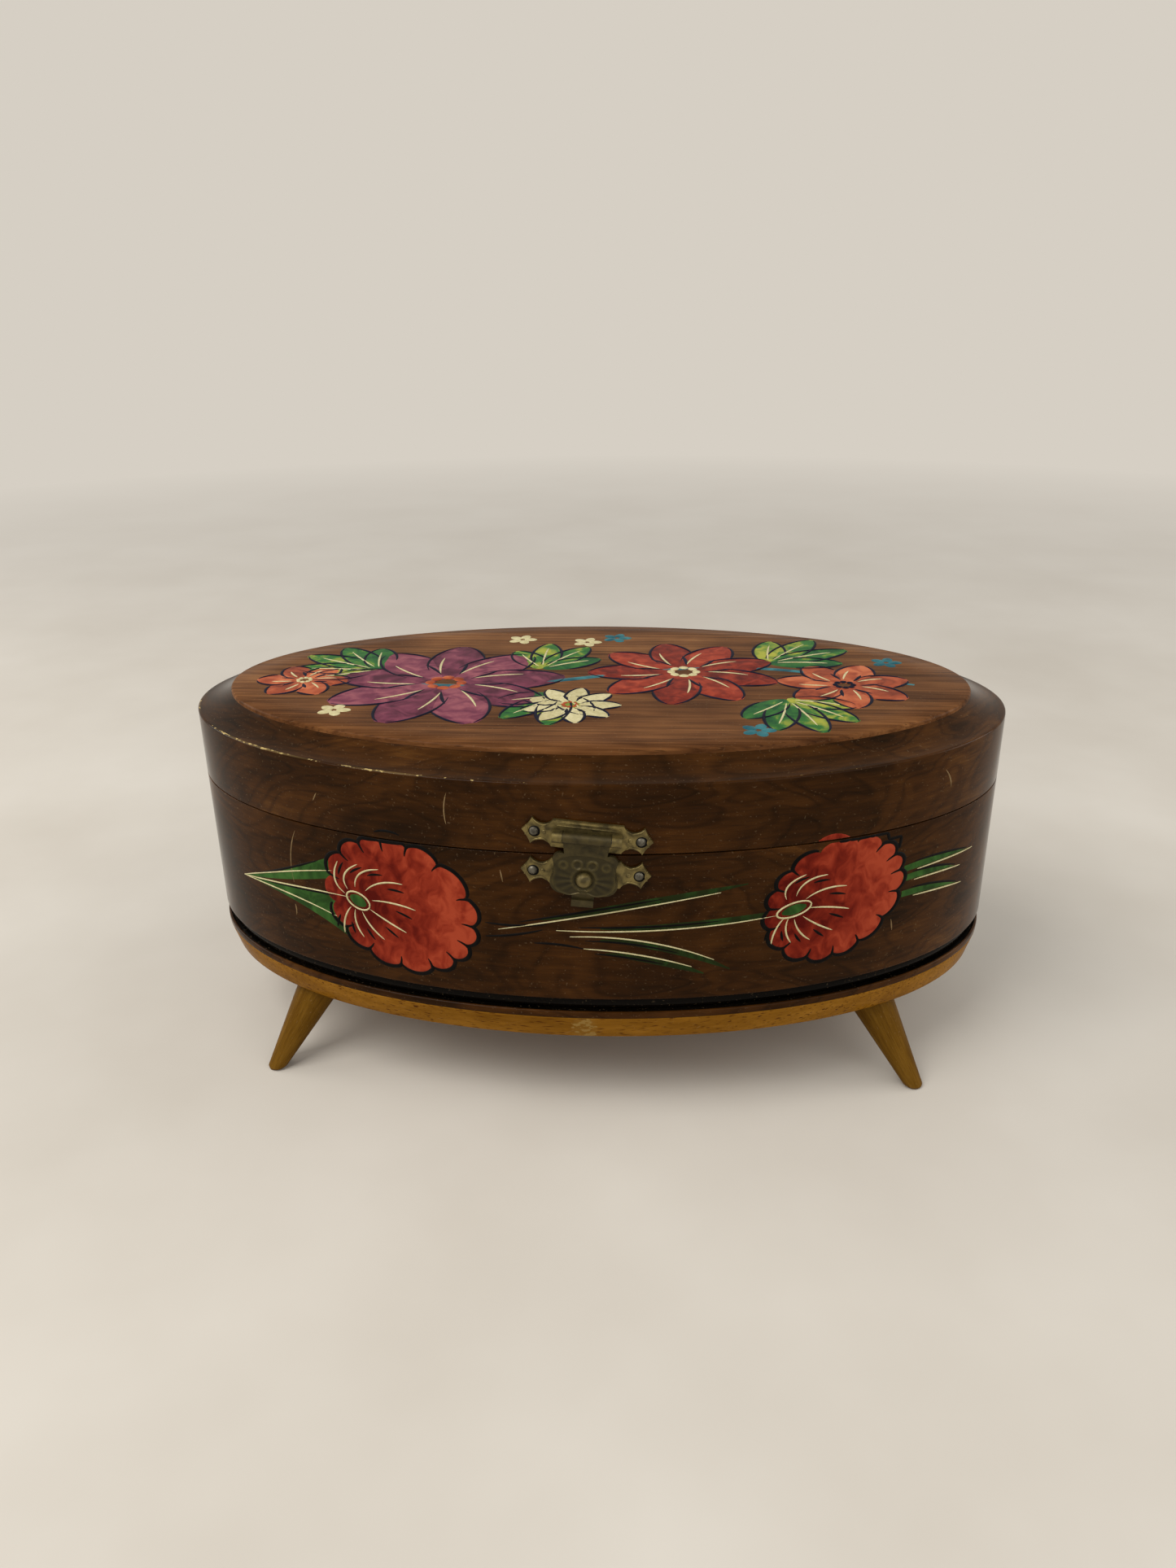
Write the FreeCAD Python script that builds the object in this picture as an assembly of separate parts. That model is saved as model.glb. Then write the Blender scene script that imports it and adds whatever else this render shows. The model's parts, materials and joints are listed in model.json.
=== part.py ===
import FreeCAD, Part
import math
import os
from FreeCAD import Vector

# Oval case: lengths in millimetres, angles in degrees
oval_length = 200.0
oval_depth = 110.6
wall = 6.0
seam_gap = 0.3
body_height = 48.3
board_thickness = 6.4
board_taper = 1.8
lip_height = 1.7
groove_height = 3.4
groove_depth = 2.6
band_recess = 1.2

# Splayed legs, set in from the oval's ends and sides
leg_height = 22.0
leg_top_inset_x = 31.2
leg_top_inset_y = 25.1
foot_inset_x = 20.2
foot_inset_y = 16.0
leg_top_radius = 6.4
foot_radius = 2.3
tenon_radius = 3.2
tenon_length = 5.6

# Lid
lid_side = 16.5
cove_width = 8.5
cove_rise = 3.2
cove_start_angle = 8.0
cove_steps = 4
panel_step = 1.2
panel_thickness = 6.0
panel_bevel = 0.5
shelf_width = 4.5
shelf_thickness = 3.0
lid_lining_thickness = 1.5
mirror_length = 96.0
mirror_depth = 44.0
mirror_thickness = 1.8
lid_open = 96.0

# Rear hinges
hinge_x = 14.0
hinge_length = 12.0
hinge_leaf_height = 9.0
hinge_leaf = 0.8
hinge_knuckle_radius = 1.5
hinge_middle_length = 4.0
hinge_pin_radius = 0.75
stop_tail_length = 2.8
stop_tail_top = 0.7
stop_gap = 0.2
hinge_web_lap = 0.6
hinge_nail_spread = 3.4
hinge_nail_drop = 6.2

# Front clasp, laid out around the hasp pin and tilted as one
clasp_x = 1.2
clasp_above_seam = 4.8
clasp_tilt = 4.5
lid_plate_tilt = 6.0
body_plate_tilt = 3.0
clasp_sheet = 0.8
plate_half = 14.1
bar_half = 7.5
bar_half_height = 3.2
neck_at = 9.4
neck_half_height = 1.8
cusp_at = 12.0
cusp_half_height = 3.1
clasp_nail_at = 11.4
end_hollow_at = 12.9
end_hollow_half_height = 1.4
body_plate_drop = 8.8
hasp_knuckle_radius = 1.2
hasp_knuckle_half = 5.2
ear_half = 7.4
hasp_pin_radius = 0.55
hasp_sheet = 0.9
hasp_stand_off = 0.25
hasp_tongue_half = 4.6
hasp_tongue_drop = 3.8
hasp_half = 7.2
hasp_shoulder_half = 7.0
hasp_shoulder_drop = 5.4
hasp_corner_half = 6.5
hasp_corner_drop = 4.1
hasp_side_half = 6.7
hasp_side_drop = 7.8
hasp_lobe_half = 6.6
hasp_lobe_lift = 0.9
hasp_end_half = 4.3
hasp_drop = 13.4
notch_half_width = 2.7
knob_drop = 9.7
knob_radius = 1.75
catch_half_width = 2.1
tab_half = 2.4
tab_length = 2.8
tab_lip = 1.6
tab_sheet = 1.5

# Round-headed nails
nail_head_radius = 1.05
nail_crown_radius = 0.58
nail_head_height = 0.5
nail_shank_radius = 0.55
nail_length = 4.2
nail_turn = 45

# Inside of the case
partition_thickness = 3.0
deck_thickness = 3.0
deck_cover_thickness = 0.8
liner = 1.2
liner_floor = 1.5
liner_below_rim = 1.0

# Musical movement, set out around the upright spring barrel at the centre
bed_left = -26.0
bed_right = 30.5
bed_front = -17.0
bed_back = 46.0
bed_corner = 4.0
bed_thickness = 2.4
bed_wall_gap = 3.3
bed_side_gap = 1.0
boss_height = 2.6
boss_radius = 3.0
bed_screw_inset = 5.0
screw_radius = 1.1
screw_head_radius = 2.2
screw_head_height = 1.2
screw_tip_gap = 0.6
fine_screw_radius = 0.88
fine_screw_head_radius = 1.76
comb_screw_depth = 6.0
barrel_lift = 0.6
barrel_radius = 12.0
barrel_height = 10.6
barrel_wall = 0.9
cap_thickness = 1.0
cap_hub_radius = 2.6
spring_turns = 6
spring_sides = 12
spring_strip = 0.35
crown_width = 3.0
crown_thickness = 1.5
crown_teeth = 60
pinion_teeth = 10
bridge_width = 9.0
bridge_sheet = 1.4
bridge_gap = 0.6
bridge_foot = 4.2
arbor_radius = 1.6
arbor_core_radius = 2.8
cylinder_radius = 6.0
cylinder_length = 20.0
cylinder_axis_height = 8.8
cylinder_arbor_radius = 1.0
pin_radius = 0.25
pin_height = 0.45
pin_root = 0.5
pins_per_track = 3
track_turn = 137.5
track_shift = 17.0
bracket_sheet = 1.2
bracket_half = 3.5
comb_tracks = 18
comb_track_width = 1.05
comb_gap = 0.3
comb_thickness = 1.2
comb_longest = 12.4
comb_step = 0.3
comb_root = 8.5
train_module = 0.35
cylinder_wheel_teeth = 36
idler_pinion_teeth = 9
idler_wheel_teeth = 32
fly_pinion_teeth = 8
wheel_face = 1.3
train_arbor_radius = 0.6
fly_radius = 5.4
fly_length = 9.0
fly_sheet = 0.5

# Stop rod that the lid pushes down on the fly
stop_rod_radius = 0.8
stop_collar_radius = 1.5
stop_collar_height = 6.6
stop_collar_thickness = 0.8
stop_finger_radius = 0.45

# Winding key under the board
key_hub_radius = 3.4
key_hub_length = 9.5
key_ear_radius = 5.0
key_ear_spread = 6.0
key_sheet = 2.2
key_hole_radius = 2.0
key_gap = 0.8
key_bore_floor = 2.0

# Dancer on her spring, lying under the closed lid
dancer_tilt = 72.0
pivot_height = 9.0
pivot_room = 2.6
spring_radius = 2.2
spring_tube = 0.5
spring_start = 1.0
spring_end = 8.0
spindle_radius = 1.55
seat_height = 2.0
bush_radius = 3.3
bush_flange_radius = 4.8
bush_flange = 0.7
leg_length = 14.0
hip_height = 2.5
torso_height = 10.5
neck_height = 1.2
ankle_radius = 0.8
knee_radius = 0.9
thigh_radius = 1.5
hip_radius = 2.2
waist_radius = 1.35
chest_radius = 2.0
neck_radius = 0.8
toe_plate = 0.6
head_radius = 2.9
bun_radius = 1.5
arm_radius = 0.75
hand_radius = 0.9
elbow_reach = 6.2
hand_reach = 1.2
hand_rise = 7.0
tutu_headroom = 2.2
tutu_drop = 2.0
tutu_thickness = 1.2

# Clearances, and how far a cutter runs past a face
running_fit = 0.1
press_fit = 0.03
soft_gap = 0.3
cut_over = 1.0
mesh_slack = 0.05

# Places worked out from the sizes above
half_length = oval_length / 2
half_depth = oval_depth / 2
leg_top_x = half_length - leg_top_inset_x
leg_top_y = half_depth - leg_top_inset_y
foot_x = half_length - foot_inset_x
foot_y = half_depth - foot_inset_y
partition_x = max(bed_right, -bed_left) + bed_side_gap + partition_thickness / 2
movement_y = half_depth - wall - bed_wall_gap - bed_back
z_board = leg_height
z_floor = z_board + board_thickness
z_groove = z_floor + lip_height
z_groove_top = z_groove + groove_height
z_parting = z_board + body_height
z_edge = z_parting + lid_side
z_cove = z_edge + cove_rise
z_top = z_cove + panel_step
z_shelf = z_top - panel_thickness
z_lining = z_shelf - lid_lining_thickness
z_bed = z_floor + boss_height
z_bed_top = z_bed + bed_thickness
z_barrel = z_bed_top + barrel_lift
z_cap = z_barrel + barrel_height
z_bridge = z_cap + cap_thickness + bridge_gap
z_cylinder = z_bed_top + cylinder_axis_height
z_deck = z_cylinder + cylinder_radius + pin_height + soft_gap * 2
z_deck_top = z_deck + deck_thickness
z_stage = z_deck_top + deck_cover_thickness
z_pivot = z_stage + pivot_height
z_clasp = z_parting + clasp_above_seam
hinge_y = half_depth + hinge_knuckle_radius + running_fit
hasp_y = -(half_depth + clasp_sheet + running_fit + hasp_knuckle_radius)
crown_outer = barrel_radius + crown_width
crown_mid = barrel_radius + 0.6 * crown_width
tooth_pitch = 2 * math.pi * crown_mid / crown_teeth
pinion_radius = pinion_teeth * tooth_pitch / (2 * math.pi)
tooth_rise = 0.35 * tooth_pitch
crown_gap = 0.5 * tooth_pitch
z_crown = z_cylinder - pinion_radius - crown_gap
bracket_y = crown_outer + soft_gap
cylinder_y = bracket_y + bracket_sheet + 2 * soft_gap
cylinder_end = cylinder_y + cylinder_length
train_y = cylinder_end + 2 * soft_gap
first_wheel_y = train_y + bracket_sheet + soft_gap
second_wheel_y = first_wheel_y + wheel_face + 2 * soft_gap
train_end = second_wheel_y + wheel_face + soft_gap
idler_x = -train_module * (cylinder_wheel_teeth + idler_pinion_teeth) / 2 - mesh_slack
fly_x = idler_x - train_module * (idler_wheel_teeth + fly_pinion_teeth) / 2 - mesh_slack
fly_end = train_y - 2 * soft_gap
fly_y = fly_end - fly_length
stop_x = fly_x - fly_radius - stop_collar_radius - soft_gap
stop_y = (fly_y + fly_end) / 2
comb_tip = cylinder_radius + pin_height + running_fit * 2
comb_x = comb_tip + comb_longest
comb_width = comb_tracks * comb_track_width
comb_y = (cylinder_y + cylinder_end - comb_width) / 2
toe = spring_end
waist = toe + leg_length + hip_height
shoulder = waist + 0.62 * torso_height
head_height = waist + torso_height + neck_height
dancer_lean = math.radians(dancer_tilt)
tutu_room = z_lining - tutu_headroom - z_pivot - waist * math.cos(dancer_lean)
tutu_radius = tutu_room / math.sin(dancer_lean)

# Half width at root and tip, and depth below and height above the pitch line, in tooth pitches
tooth_root_half = 0.24
tooth_tip_half = 0.12
tooth_depth = 0.38
tooth_height = 0.28

pieces = {}
movement = {}


# Solids that many pieces are made from

def oval(inset, z):
    """Ellipse of the case's plan, drawn in by inset, at height z."""
    curve = Part.Ellipse(Vector(0, 0, z), half_length - inset, half_depth - inset)
    return Part.Wire(curve.toShape())


def oval_prism(inset, low, high):
    return Part.Face(oval(inset, low)).extrude(Vector(0, 0, high - low))


def oval_ring(outside, inside, low, high):
    return oval_prism(outside, low, high).cut(oval_prism(inside, low, high))


def wall_y(x, proud=0.0):
    """Depth of the oval's side at x, with proud added all round."""
    return (half_depth + proud) * math.sqrt(1 - (x / (half_length + proud)) ** 2)


def block(x0, x1, y0, y1, z0, z1):
    return Part.makeBox(x1 - x0, y1 - y0, z1 - z0, Vector(x0, y0, z0))


def rod(radius, start, end):
    way = end - start
    return Part.makeCylinder(radius, way.Length, start, way)


def tube(outer, inner, start, end):
    return rod(outer, start, end).cut(rod(inner, start, end))


def taper(radius_start, radius_end, start, end):
    way = end - start
    return Part.makeCone(radius_start, radius_end, way.Length, start, way)


def turned(profile):
    """Solid turned about the Z axis from a closed list of (radius, z)."""
    points = [Vector(radius, 0, z) for radius, z in profile]
    face = Part.Face(Part.makePolygon(points + points[:1]))
    return face.revolve(Vector(0, 0, 0), Vector(0, 0, 1), 360)


def joined(shapes):
    return shapes[0].fuse(shapes[1:]).removeSplitter()


def sheet_in_xz(edges, back, front):
    """Plate with an outline in the XZ plane, from y = back to y = front."""
    wire = Part.Wire(Part.__sortEdges__(edges))
    face = Part.Face(wire).translated(Vector(0, back, 0))
    return face.extrude(Vector(0, front - back, 0))


def line(a, b):
    return Part.makeLine(Vector(a[0], 0, a[1]), Vector(b[0], 0, b[1]))


def arc(a, b, c):
    spots = [Vector(x, 0, z) for x, z in (a, b, c)]
    return Part.Arc(*spots).toShape()


def mirrored_half(path):
    """Outline from the right half's steps: two points a line, three an arc."""
    edges = []
    for side in (1, -1):
        for step in path:
            spots = [(side * x, z) for x, z in step]
            edges.append(line(*spots) if len(spots) == 2 else arc(*spots))
    return edges


def toothed_face(teeth, pitch_radius, pitch, tooth_at):
    """Gear outline about the origin in XZ; a tooth is centred at tooth_at degrees."""
    spots = []
    for tooth in range(teeth):
        middle = math.radians(tooth_at + tooth * 360 / teeth)
        flanks = ((-tooth_root_half, -tooth_depth), (-tooth_tip_half, tooth_height),
                  (tooth_tip_half, tooth_height), (tooth_root_half, -tooth_depth))
        for share, height in flanks:
            radius = pitch_radius + height * pitch
            angle = middle + share * pitch / pitch_radius
            spots.append(Vector(radius * math.cos(angle), 0, radius * math.sin(angle)))
    return Part.Face(Part.makePolygon(spots + spots[:1]))


def wheel(teeth, pitch_radius, pitch, tooth_at, x, y, face):
    outline = toothed_face(teeth, pitch_radius, pitch, tooth_at)
    return outline.translated(Vector(x, y, z_cylinder)).extrude(Vector(0, face, 0))


def train_wheel(teeth, tooth_at, x, y):
    radius = train_module * teeth / 2
    return wheel(teeth, radius, math.pi * train_module, tooth_at, x, y, wheel_face)


def along_y(radius, x, y0, y1, z):
    return rod(radius, Vector(x, y0, z), Vector(x, y1, z))


def upright(radius, x, y, z0, z1):
    return rod(radius, Vector(x, y, z0), Vector(x, y, z1))


def set_back(shape):
    """Carry a shape from the movement's own layout to its place in the case."""
    return shape.translated(Vector(0, movement_y, 0))


def nail(x, z, proud, side):
    """Round-headed nail driven along Y through a sheet; side is -1 front, 1 back.

    The turn keeps the seam of its round faces off the level line.
    """
    face = side * wall_y(x, proud)
    tip = face - side * nail_length
    dome = face + side * nail_head_height
    head = taper(nail_head_radius, nail_crown_radius,
                 Vector(x, face, z), Vector(x, dome, z))
    shank = rod(nail_shank_radius, Vector(x, tip, z), Vector(x, face, z))
    return head.fuse(shank).rotated(Vector(x, 0, z), Vector(0, 1, 0), nail_turn)


# Legs and bottom board

def leg(side_x, side_y):
    top = Vector(side_x * leg_top_x, side_y * leg_top_y, z_board)
    foot = Vector(side_x * foot_x, side_y * foot_y, 0)
    way = (foot - top).normalize()
    length = (foot - top).Length
    spare = 2 * leg_top_radius
    slope = (leg_top_radius - foot_radius) / length
    cone = taper(leg_top_radius + slope * spare, foot_radius - slope * foot_radius * 2,
                 top - way * spare, foot + way * foot_radius * 2)
    slab = block(-oval_length, oval_length, -oval_length, oval_length, 0, z_board)
    return cone.common(slab), tenon(top, way, 0)


def tenon(top, way, room):
    """Round tenon on the leg's line, cut level inside the board."""
    peg = rod(tenon_radius + room, top + way * tenon_radius, top - way * 3 * tenon_length)
    seat = block(-oval_length, oval_length, -oval_length, oval_length,
                 z_board, z_board + tenon_length + room)
    return peg.common(seat)


def leg_sockets():
    sockets = []
    for side_x in (-1, 1):
        for side_y in (-1, 1):
            top = Vector(side_x * leg_top_x, side_y * leg_top_y, z_board)
            foot = Vector(side_x * foot_x, side_y * foot_y, 0)
            sockets.append(tenon(top, (foot - top).normalize(), press_fit))
    return sockets


for name_x, side_x in (("left", -1), ("right", 1)):
    for name_y, side_y in (("front", -1), ("rear", 1)):
        shaft, peg = leg(side_x, side_y)
        pieces[f"leg_{name_y}_{name_x}"] = joined([shaft, peg])

bed_screw_spots = [(x, y)
                   for x in (bed_left + bed_screw_inset, bed_right - bed_screw_inset)
                   for y in (bed_front + bed_screw_inset, bed_back - bed_screw_inset)]


def base_board():
    board = Part.makeLoft([oval(board_taper, z_board), oval(0, z_floor)], True, True)
    holes = [upright(key_hub_radius + key_gap, 0, 0, z_board - cut_over, z_floor + cut_over)]
    for x, y in bed_screw_spots:
        holes.append(upright(screw_radius + press_fit, x, y, z_board - cut_over, z_floor + cut_over))
    return board.cut(leg_sockets() + [set_back(hole) for hole in holes])


pieces["base_board"] = base_board()


# Clasp on the front

def tilted(shape, tilt=clasp_tilt):
    """Carry a shape from the clasp's own XZ layout to its tilted place."""
    turned_shape = shape.rotated(Vector(0, 0, 0), Vector(0, 1, 0), tilt)
    return turned_shape.translated(Vector(clasp_x, 0, z_clasp))


def tilted_spot(across, down, tilt):
    angle = math.radians(tilt)
    x = clasp_x + across * math.cos(angle) - down * math.sin(angle)
    z = z_clasp - across * math.sin(angle) - down * math.cos(angle)
    return x, z


def lobed_outline(drop):
    """Bar that narrows to a neck and flares to a cusped end on both sides."""
    def quarter(side):
        high = side * bar_half_height
        cusp = (cusp_at, side * cusp_half_height - drop)
        hollow = (end_hollow_at, side * end_hollow_half_height - drop)
        return [
            ((0, high - drop), (bar_half, high - drop)),
            ((bar_half, high - drop), (neck_at, side * neck_half_height - drop), cusp),
            (cusp, hollow, (plate_half, -drop)),
        ]
    return mirrored_half(quarter(1) + quarter(-1))


def clasp_nails(drop, tilt):
    nails = []
    for across in (-clasp_nail_at, clasp_nail_at):
        x, z = tilted_spot(across, drop, tilt)
        nails.append(nail(x, z, clasp_sheet, -1))
    return nails


def clasp_plate(drop, tilt):
    """Lobed plate bent to the curve of the front wall."""
    blank = tilted(sheet_in_xz(lobed_outline(drop), -oval_depth, 0), tilt)
    skin = oval_ring(-clasp_sheet, 0, z_board, z_top)
    return blank.common(skin).cut(clasp_nails(drop, tilt))


def hasp_pin_room():
    return tilted(rod(hasp_pin_radius + press_fit,
                      Vector(-ear_half - cut_over, hasp_y, 0), Vector(ear_half + cut_over, hasp_y, 0)))


def lid_plate():
    plate = clasp_plate(0, lid_plate_tilt)
    inner = hasp_knuckle_half + running_fit
    room = tilted(rod(hasp_knuckle_radius + running_fit,
                      Vector(-inner, hasp_y, 0), Vector(inner, hasp_y, 0)))
    ears = []
    for start, end in ((-ear_half, -inner), (inner, ear_half)):
        knuckle = rod(hasp_knuckle_radius, Vector(start, hasp_y, 0), Vector(end, hasp_y, 0))
        web = block(start, end, hasp_y, -half_depth + clasp_sheet,
                    -hasp_knuckle_radius, hasp_knuckle_radius)
        ears.append(tilted(knuckle.fuse(web)).cut(oval_prism(0, z_board, z_top)))
    return joined([plate] + ears).cut([room, hasp_pin_room()])


hasp_back = -(half_depth + clasp_sheet + hasp_stand_off)
hasp_front = hasp_back - hasp_sheet


def quarter_round(radius):
    """Arc of a half-round end about the knob, from its side to its top."""
    slant = radius * math.sqrt(0.5)
    return (radius, -knob_drop), (slant, -knob_drop + slant), (0, -knob_drop + radius)


def hasp():
    """Stamped leaf on a knuckle: a tongue that widens to a lobed shield, notched for the knob."""
    lobe = hasp_drop - hasp_lobe_lift
    tongue = (hasp_tongue_half, -hasp_tongue_drop)
    shoulder = (hasp_shoulder_half, -hasp_shoulder_drop)
    widest = (hasp_half, -knob_drop)
    end = (hasp_end_half, -hasp_drop)
    path = [
        ((0, 0), (hasp_knuckle_half, 0)),
        ((hasp_knuckle_half, 0), tongue),
        (tongue, (hasp_corner_half, -hasp_corner_drop), shoulder),
        (shoulder, (hasp_side_half, -hasp_side_drop), widest),
        (widest, (hasp_lobe_half, -lobe), end),
        (end, (notch_half_width, -lobe)),
        ((notch_half_width, -lobe), (notch_half_width, -knob_drop)),
        quarter_round(notch_half_width),
    ]
    leaf = sheet_in_xz(mirrored_half(path), hasp_back, hasp_front)
    knuckle = rod(hasp_knuckle_radius, Vector(-hasp_knuckle_half, hasp_y, 0),
                  Vector(hasp_knuckle_half, hasp_y, 0))
    bore = rod(hasp_pin_radius + running_fit, Vector(-ear_half, hasp_y, 0),
               Vector(ear_half, hasp_y, 0))
    return tilted(joined([leaf, knuckle]).cut(bore))


def clasp_catch():
    """Tongue in the hasp's notch with a domed knob and a thumb tab below it."""
    back = -(half_depth + clasp_sheet)
    path = [
        ((catch_half_width, -hasp_drop), (catch_half_width, -knob_drop)),
        quarter_round(catch_half_width),
        ((0, -hasp_drop), (catch_half_width, -hasp_drop)),
    ]
    tongue = sheet_in_xz(mirrored_half(path), back, hasp_front)
    knob = Part.makeSphere(knob_radius, Vector(0, hasp_front, -knob_drop))
    front = block(-2 * knob_radius, 2 * knob_radius, hasp_front - 2 * knob_radius, hasp_front,
                  -2 * knob_drop, 0)
    low = -hasp_drop - tab_length
    sheet = block(-tab_half, tab_half, back - tab_sheet / 2, back, low, -hasp_drop)
    lip = block(-tab_half, tab_half, back - tab_sheet, back, low, low + tab_lip)
    return tilted(joined([tongue, knob.common(front), sheet, lip]))


hinge_nail_spots = [(side * hinge_x + across, lift)
                    for side in (-1, 1)
                    for across in (-hinge_nail_spread, hinge_nail_spread)
                    for lift in (-hinge_nail_drop, hinge_nail_drop)]
body_hinge_nails = [nail(x, z_parting + lift, hinge_leaf, 1)
                    for x, lift in hinge_nail_spots if lift < 0]
lid_hinge_nails = [nail(x, z_parting + lift, hinge_leaf, 1)
                   for x, lift in hinge_nail_spots if lift > 0]
body_clasp_nails = clasp_nails(body_plate_drop, body_plate_tilt)
lid_clasp_nails = clasp_nails(0, lid_plate_tilt)

pieces["clasp_lid_plate"] = lid_plate()
pieces["clasp_lid_nails"] = Part.makeCompound(lid_clasp_nails)
pieces["hasp_pin"] = tilted(rod(hasp_pin_radius, Vector(-ear_half, hasp_y, 0),
                                Vector(ear_half, hasp_y, 0)))
pieces["hasp"] = hasp()
pieces["clasp_body_plate"] = clasp_plate(body_plate_drop, body_plate_tilt)
pieces["clasp_body_nails"] = Part.makeCompound(body_clasp_nails)
pieces["clasp_catch"] = clasp_catch()


# Hinges on the back

def hinge_leaf_plate(middle, up, segments, extra):
    """Leaf bent to the wall, with knuckles on the given stretches of the pin."""
    start = hinge_knuckle_radius + 2 * running_fit
    low, high = sorted((z_parting + up * start, z_parting + up * (start + hinge_leaf_height)))
    half = hinge_length / 2
    plate = block(middle - half, middle + half, 0, oval_depth, low, high)
    plate = plate.common(oval_ring(-hinge_leaf, 0, z_board, z_top))
    case = oval_prism(0, z_board, z_top)
    shapes = [plate]
    for x0, x1 in segments:
        knuckle = rod(hinge_knuckle_radius, Vector(x0, hinge_y, z_parting),
                      Vector(x1, hinge_y, z_parting))
        near, far = sorted((z_parting + up * running_fit, z_parting + up * (start + hinge_web_lap)))
        inner = wall_y(max(abs(x0), abs(x1))) - hinge_leaf
        web = block(x0, x1, inner, hinge_y - hinge_pin_radius, near, far)
        shapes.append(knuckle.fuse(web).cut(case))
    shapes = shapes + extra
    bore = rod(hinge_pin_radius + press_fit, Vector(middle - hinge_length, hinge_y, z_parting),
               Vector(middle + hinge_length, hinge_y, z_parting))
    return joined(shapes).cut([bore] + body_hinge_nails + lid_hinge_nails)


def stop_tail(x0, x1):
    """Tail on the lid's knuckle that meets the lower leaf when the lid is fully open."""
    angle = math.radians(lid_open)
    reach = hinge_y - wall_y(min(abs(x0), abs(x1)), hinge_leaf) - stop_gap
    drop = (reach + stop_tail_length * math.cos(angle)) / math.sin(angle)
    return block(x0, x1, hinge_y, hinge_y + stop_tail_length,
                 z_parting - drop, z_parting + stop_tail_top)


for name, side in (("left", -1), ("right", 1)):
    middle = side * hinge_x
    half = hinge_length / 2
    inner = hinge_middle_length / 2
    outer = inner + running_fit
    pieces[f"hinge_lid_leaf_{name}"] = hinge_leaf_plate(
        middle, 1, [(middle - inner, middle + inner)],
        [stop_tail(middle - inner, middle + inner)])
    pieces[f"hinge_body_leaf_{name}"] = hinge_leaf_plate(
        middle, -1, [(middle - half, middle - outer), (middle + outer, middle + half)], [])
    pieces[f"hinge_pin_{name}"] = rod(hinge_pin_radius, Vector(middle - half, hinge_y, z_parting),
                                      Vector(middle + half, hinge_y, z_parting))
pieces["hinge_lid_nails"] = Part.makeCompound(lid_hinge_nails)
pieces["hinge_body_nails"] = Part.makeCompound(body_hinge_nails)


# Oval wall, groove band and lid

def body_wall():
    """Bent wall in three bands: lip, set-back groove and tall side."""
    lip = oval_ring(0, wall, z_floor, z_groove)
    groove = oval_ring(groove_depth, wall, z_groove, z_groove_top)
    side = oval_ring(0, wall, z_groove_top, z_parting)
    return joined([lip, groove, side]).cut(body_clasp_nails + body_hinge_nails)


def lid_rim():
    """Oval rim with a hollow moulding on top and a shelf inside for the panel."""
    bottom = z_parting + seam_gap
    side = oval_prism(0, bottom, z_edge)
    start = math.radians(cove_start_angle)
    chord = math.atan2(cove_rise, cove_width)
    sweep = 2 * (chord - start)
    radius = math.hypot(cove_rise, cove_width) / (2 * math.sin(sweep / 2))
    sections = []
    for step in range(cove_steps + 1):
        angle = start + sweep * step / cove_steps
        inset = radius * (math.sin(angle) - math.sin(start))
        rise = radius * (math.cos(start) - math.cos(angle))
        sections.append(oval(inset, z_edge + rise))
    cove = Part.makeLoft(sections, True, False)
    shelf_inset = cove_width + shelf_width
    hollow = oval_prism(wall, bottom, z_shelf - shelf_thickness)
    opening = oval_prism(shelf_inset, bottom, z_top)
    rebate = oval_prism(cove_width, z_shelf, z_top)
    rim = joined([side, cove])
    return rim.cut([hollow, opening, rebate] + lid_clasp_nails + lid_hinge_nails)


def lid_panel():
    board = oval_prism(cove_width + press_fit, z_shelf, z_top)
    top_edges = [edge for edge in board.Edges
                 if edge.BoundBox.ZMin > z_top - panel_bevel]
    return board.makeChamfer(panel_bevel, top_edges)


def mirror_oval(room):
    curve = Part.Ellipse(Vector(0, 0, z_shelf - mirror_thickness), mirror_length / 2 + room,
                         mirror_depth / 2 + room)
    return Part.Face(Part.Wire(curve.toShape()))


def lid_lining():
    pad = oval_prism(cove_width + shelf_width + soft_gap, z_lining, z_shelf)
    return pad.cut(mirror_oval(soft_gap).extrude(Vector(0, 0, panel_thickness)))


pieces["body_wall"] = body_wall()
pieces["groove_band"] = oval_ring(band_recess, groove_depth, z_groove, z_groove_top)
pieces["lid_rim"] = lid_rim()
pieces["lid_panel"] = lid_panel()
pieces["lid_lining"] = lid_lining()
pieces["lid_mirror"] = mirror_oval(0).extrude(Vector(0, 0, mirror_thickness))


# Partitions, stage and linings

deck_half = partition_x + partition_thickness / 2


def across_case(inset, x0, x1, low, high):
    """Slice of the oval interior between two x planes."""
    return oval_prism(inset, low, high).common(block(x0, x1, -oval_depth, oval_depth, low, high))


def stage_holes(room, low, high):
    holes = [upright(bush_radius + room, 0, 0, low, high),
             upright(stop_rod_radius + soft_gap, stop_x, stop_y, low, high)]
    return [set_back(hole) for hole in holes]


for name, side in (("left", -1), ("right", 1)):
    x0, x1 = sorted((side * (partition_x - partition_thickness / 2), side * deck_half))
    pieces[f"partition_{name}"] = across_case(wall + press_fit, x0, x1, z_floor, z_deck)
    near = deck_half + press_fit
    x0, x1 = sorted((side * near, side * half_length))
    tray = across_case(wall + press_fit, x0, x1, z_floor, z_stage)
    x0, x1 = sorted((side * (near + liner), side * half_length))
    hollow = across_case(wall + liner, x0, x1, z_floor + liner_floor, z_stage + cut_over)
    pieces[f"tray_liner_{name}"] = tray.cut(hollow)

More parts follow.
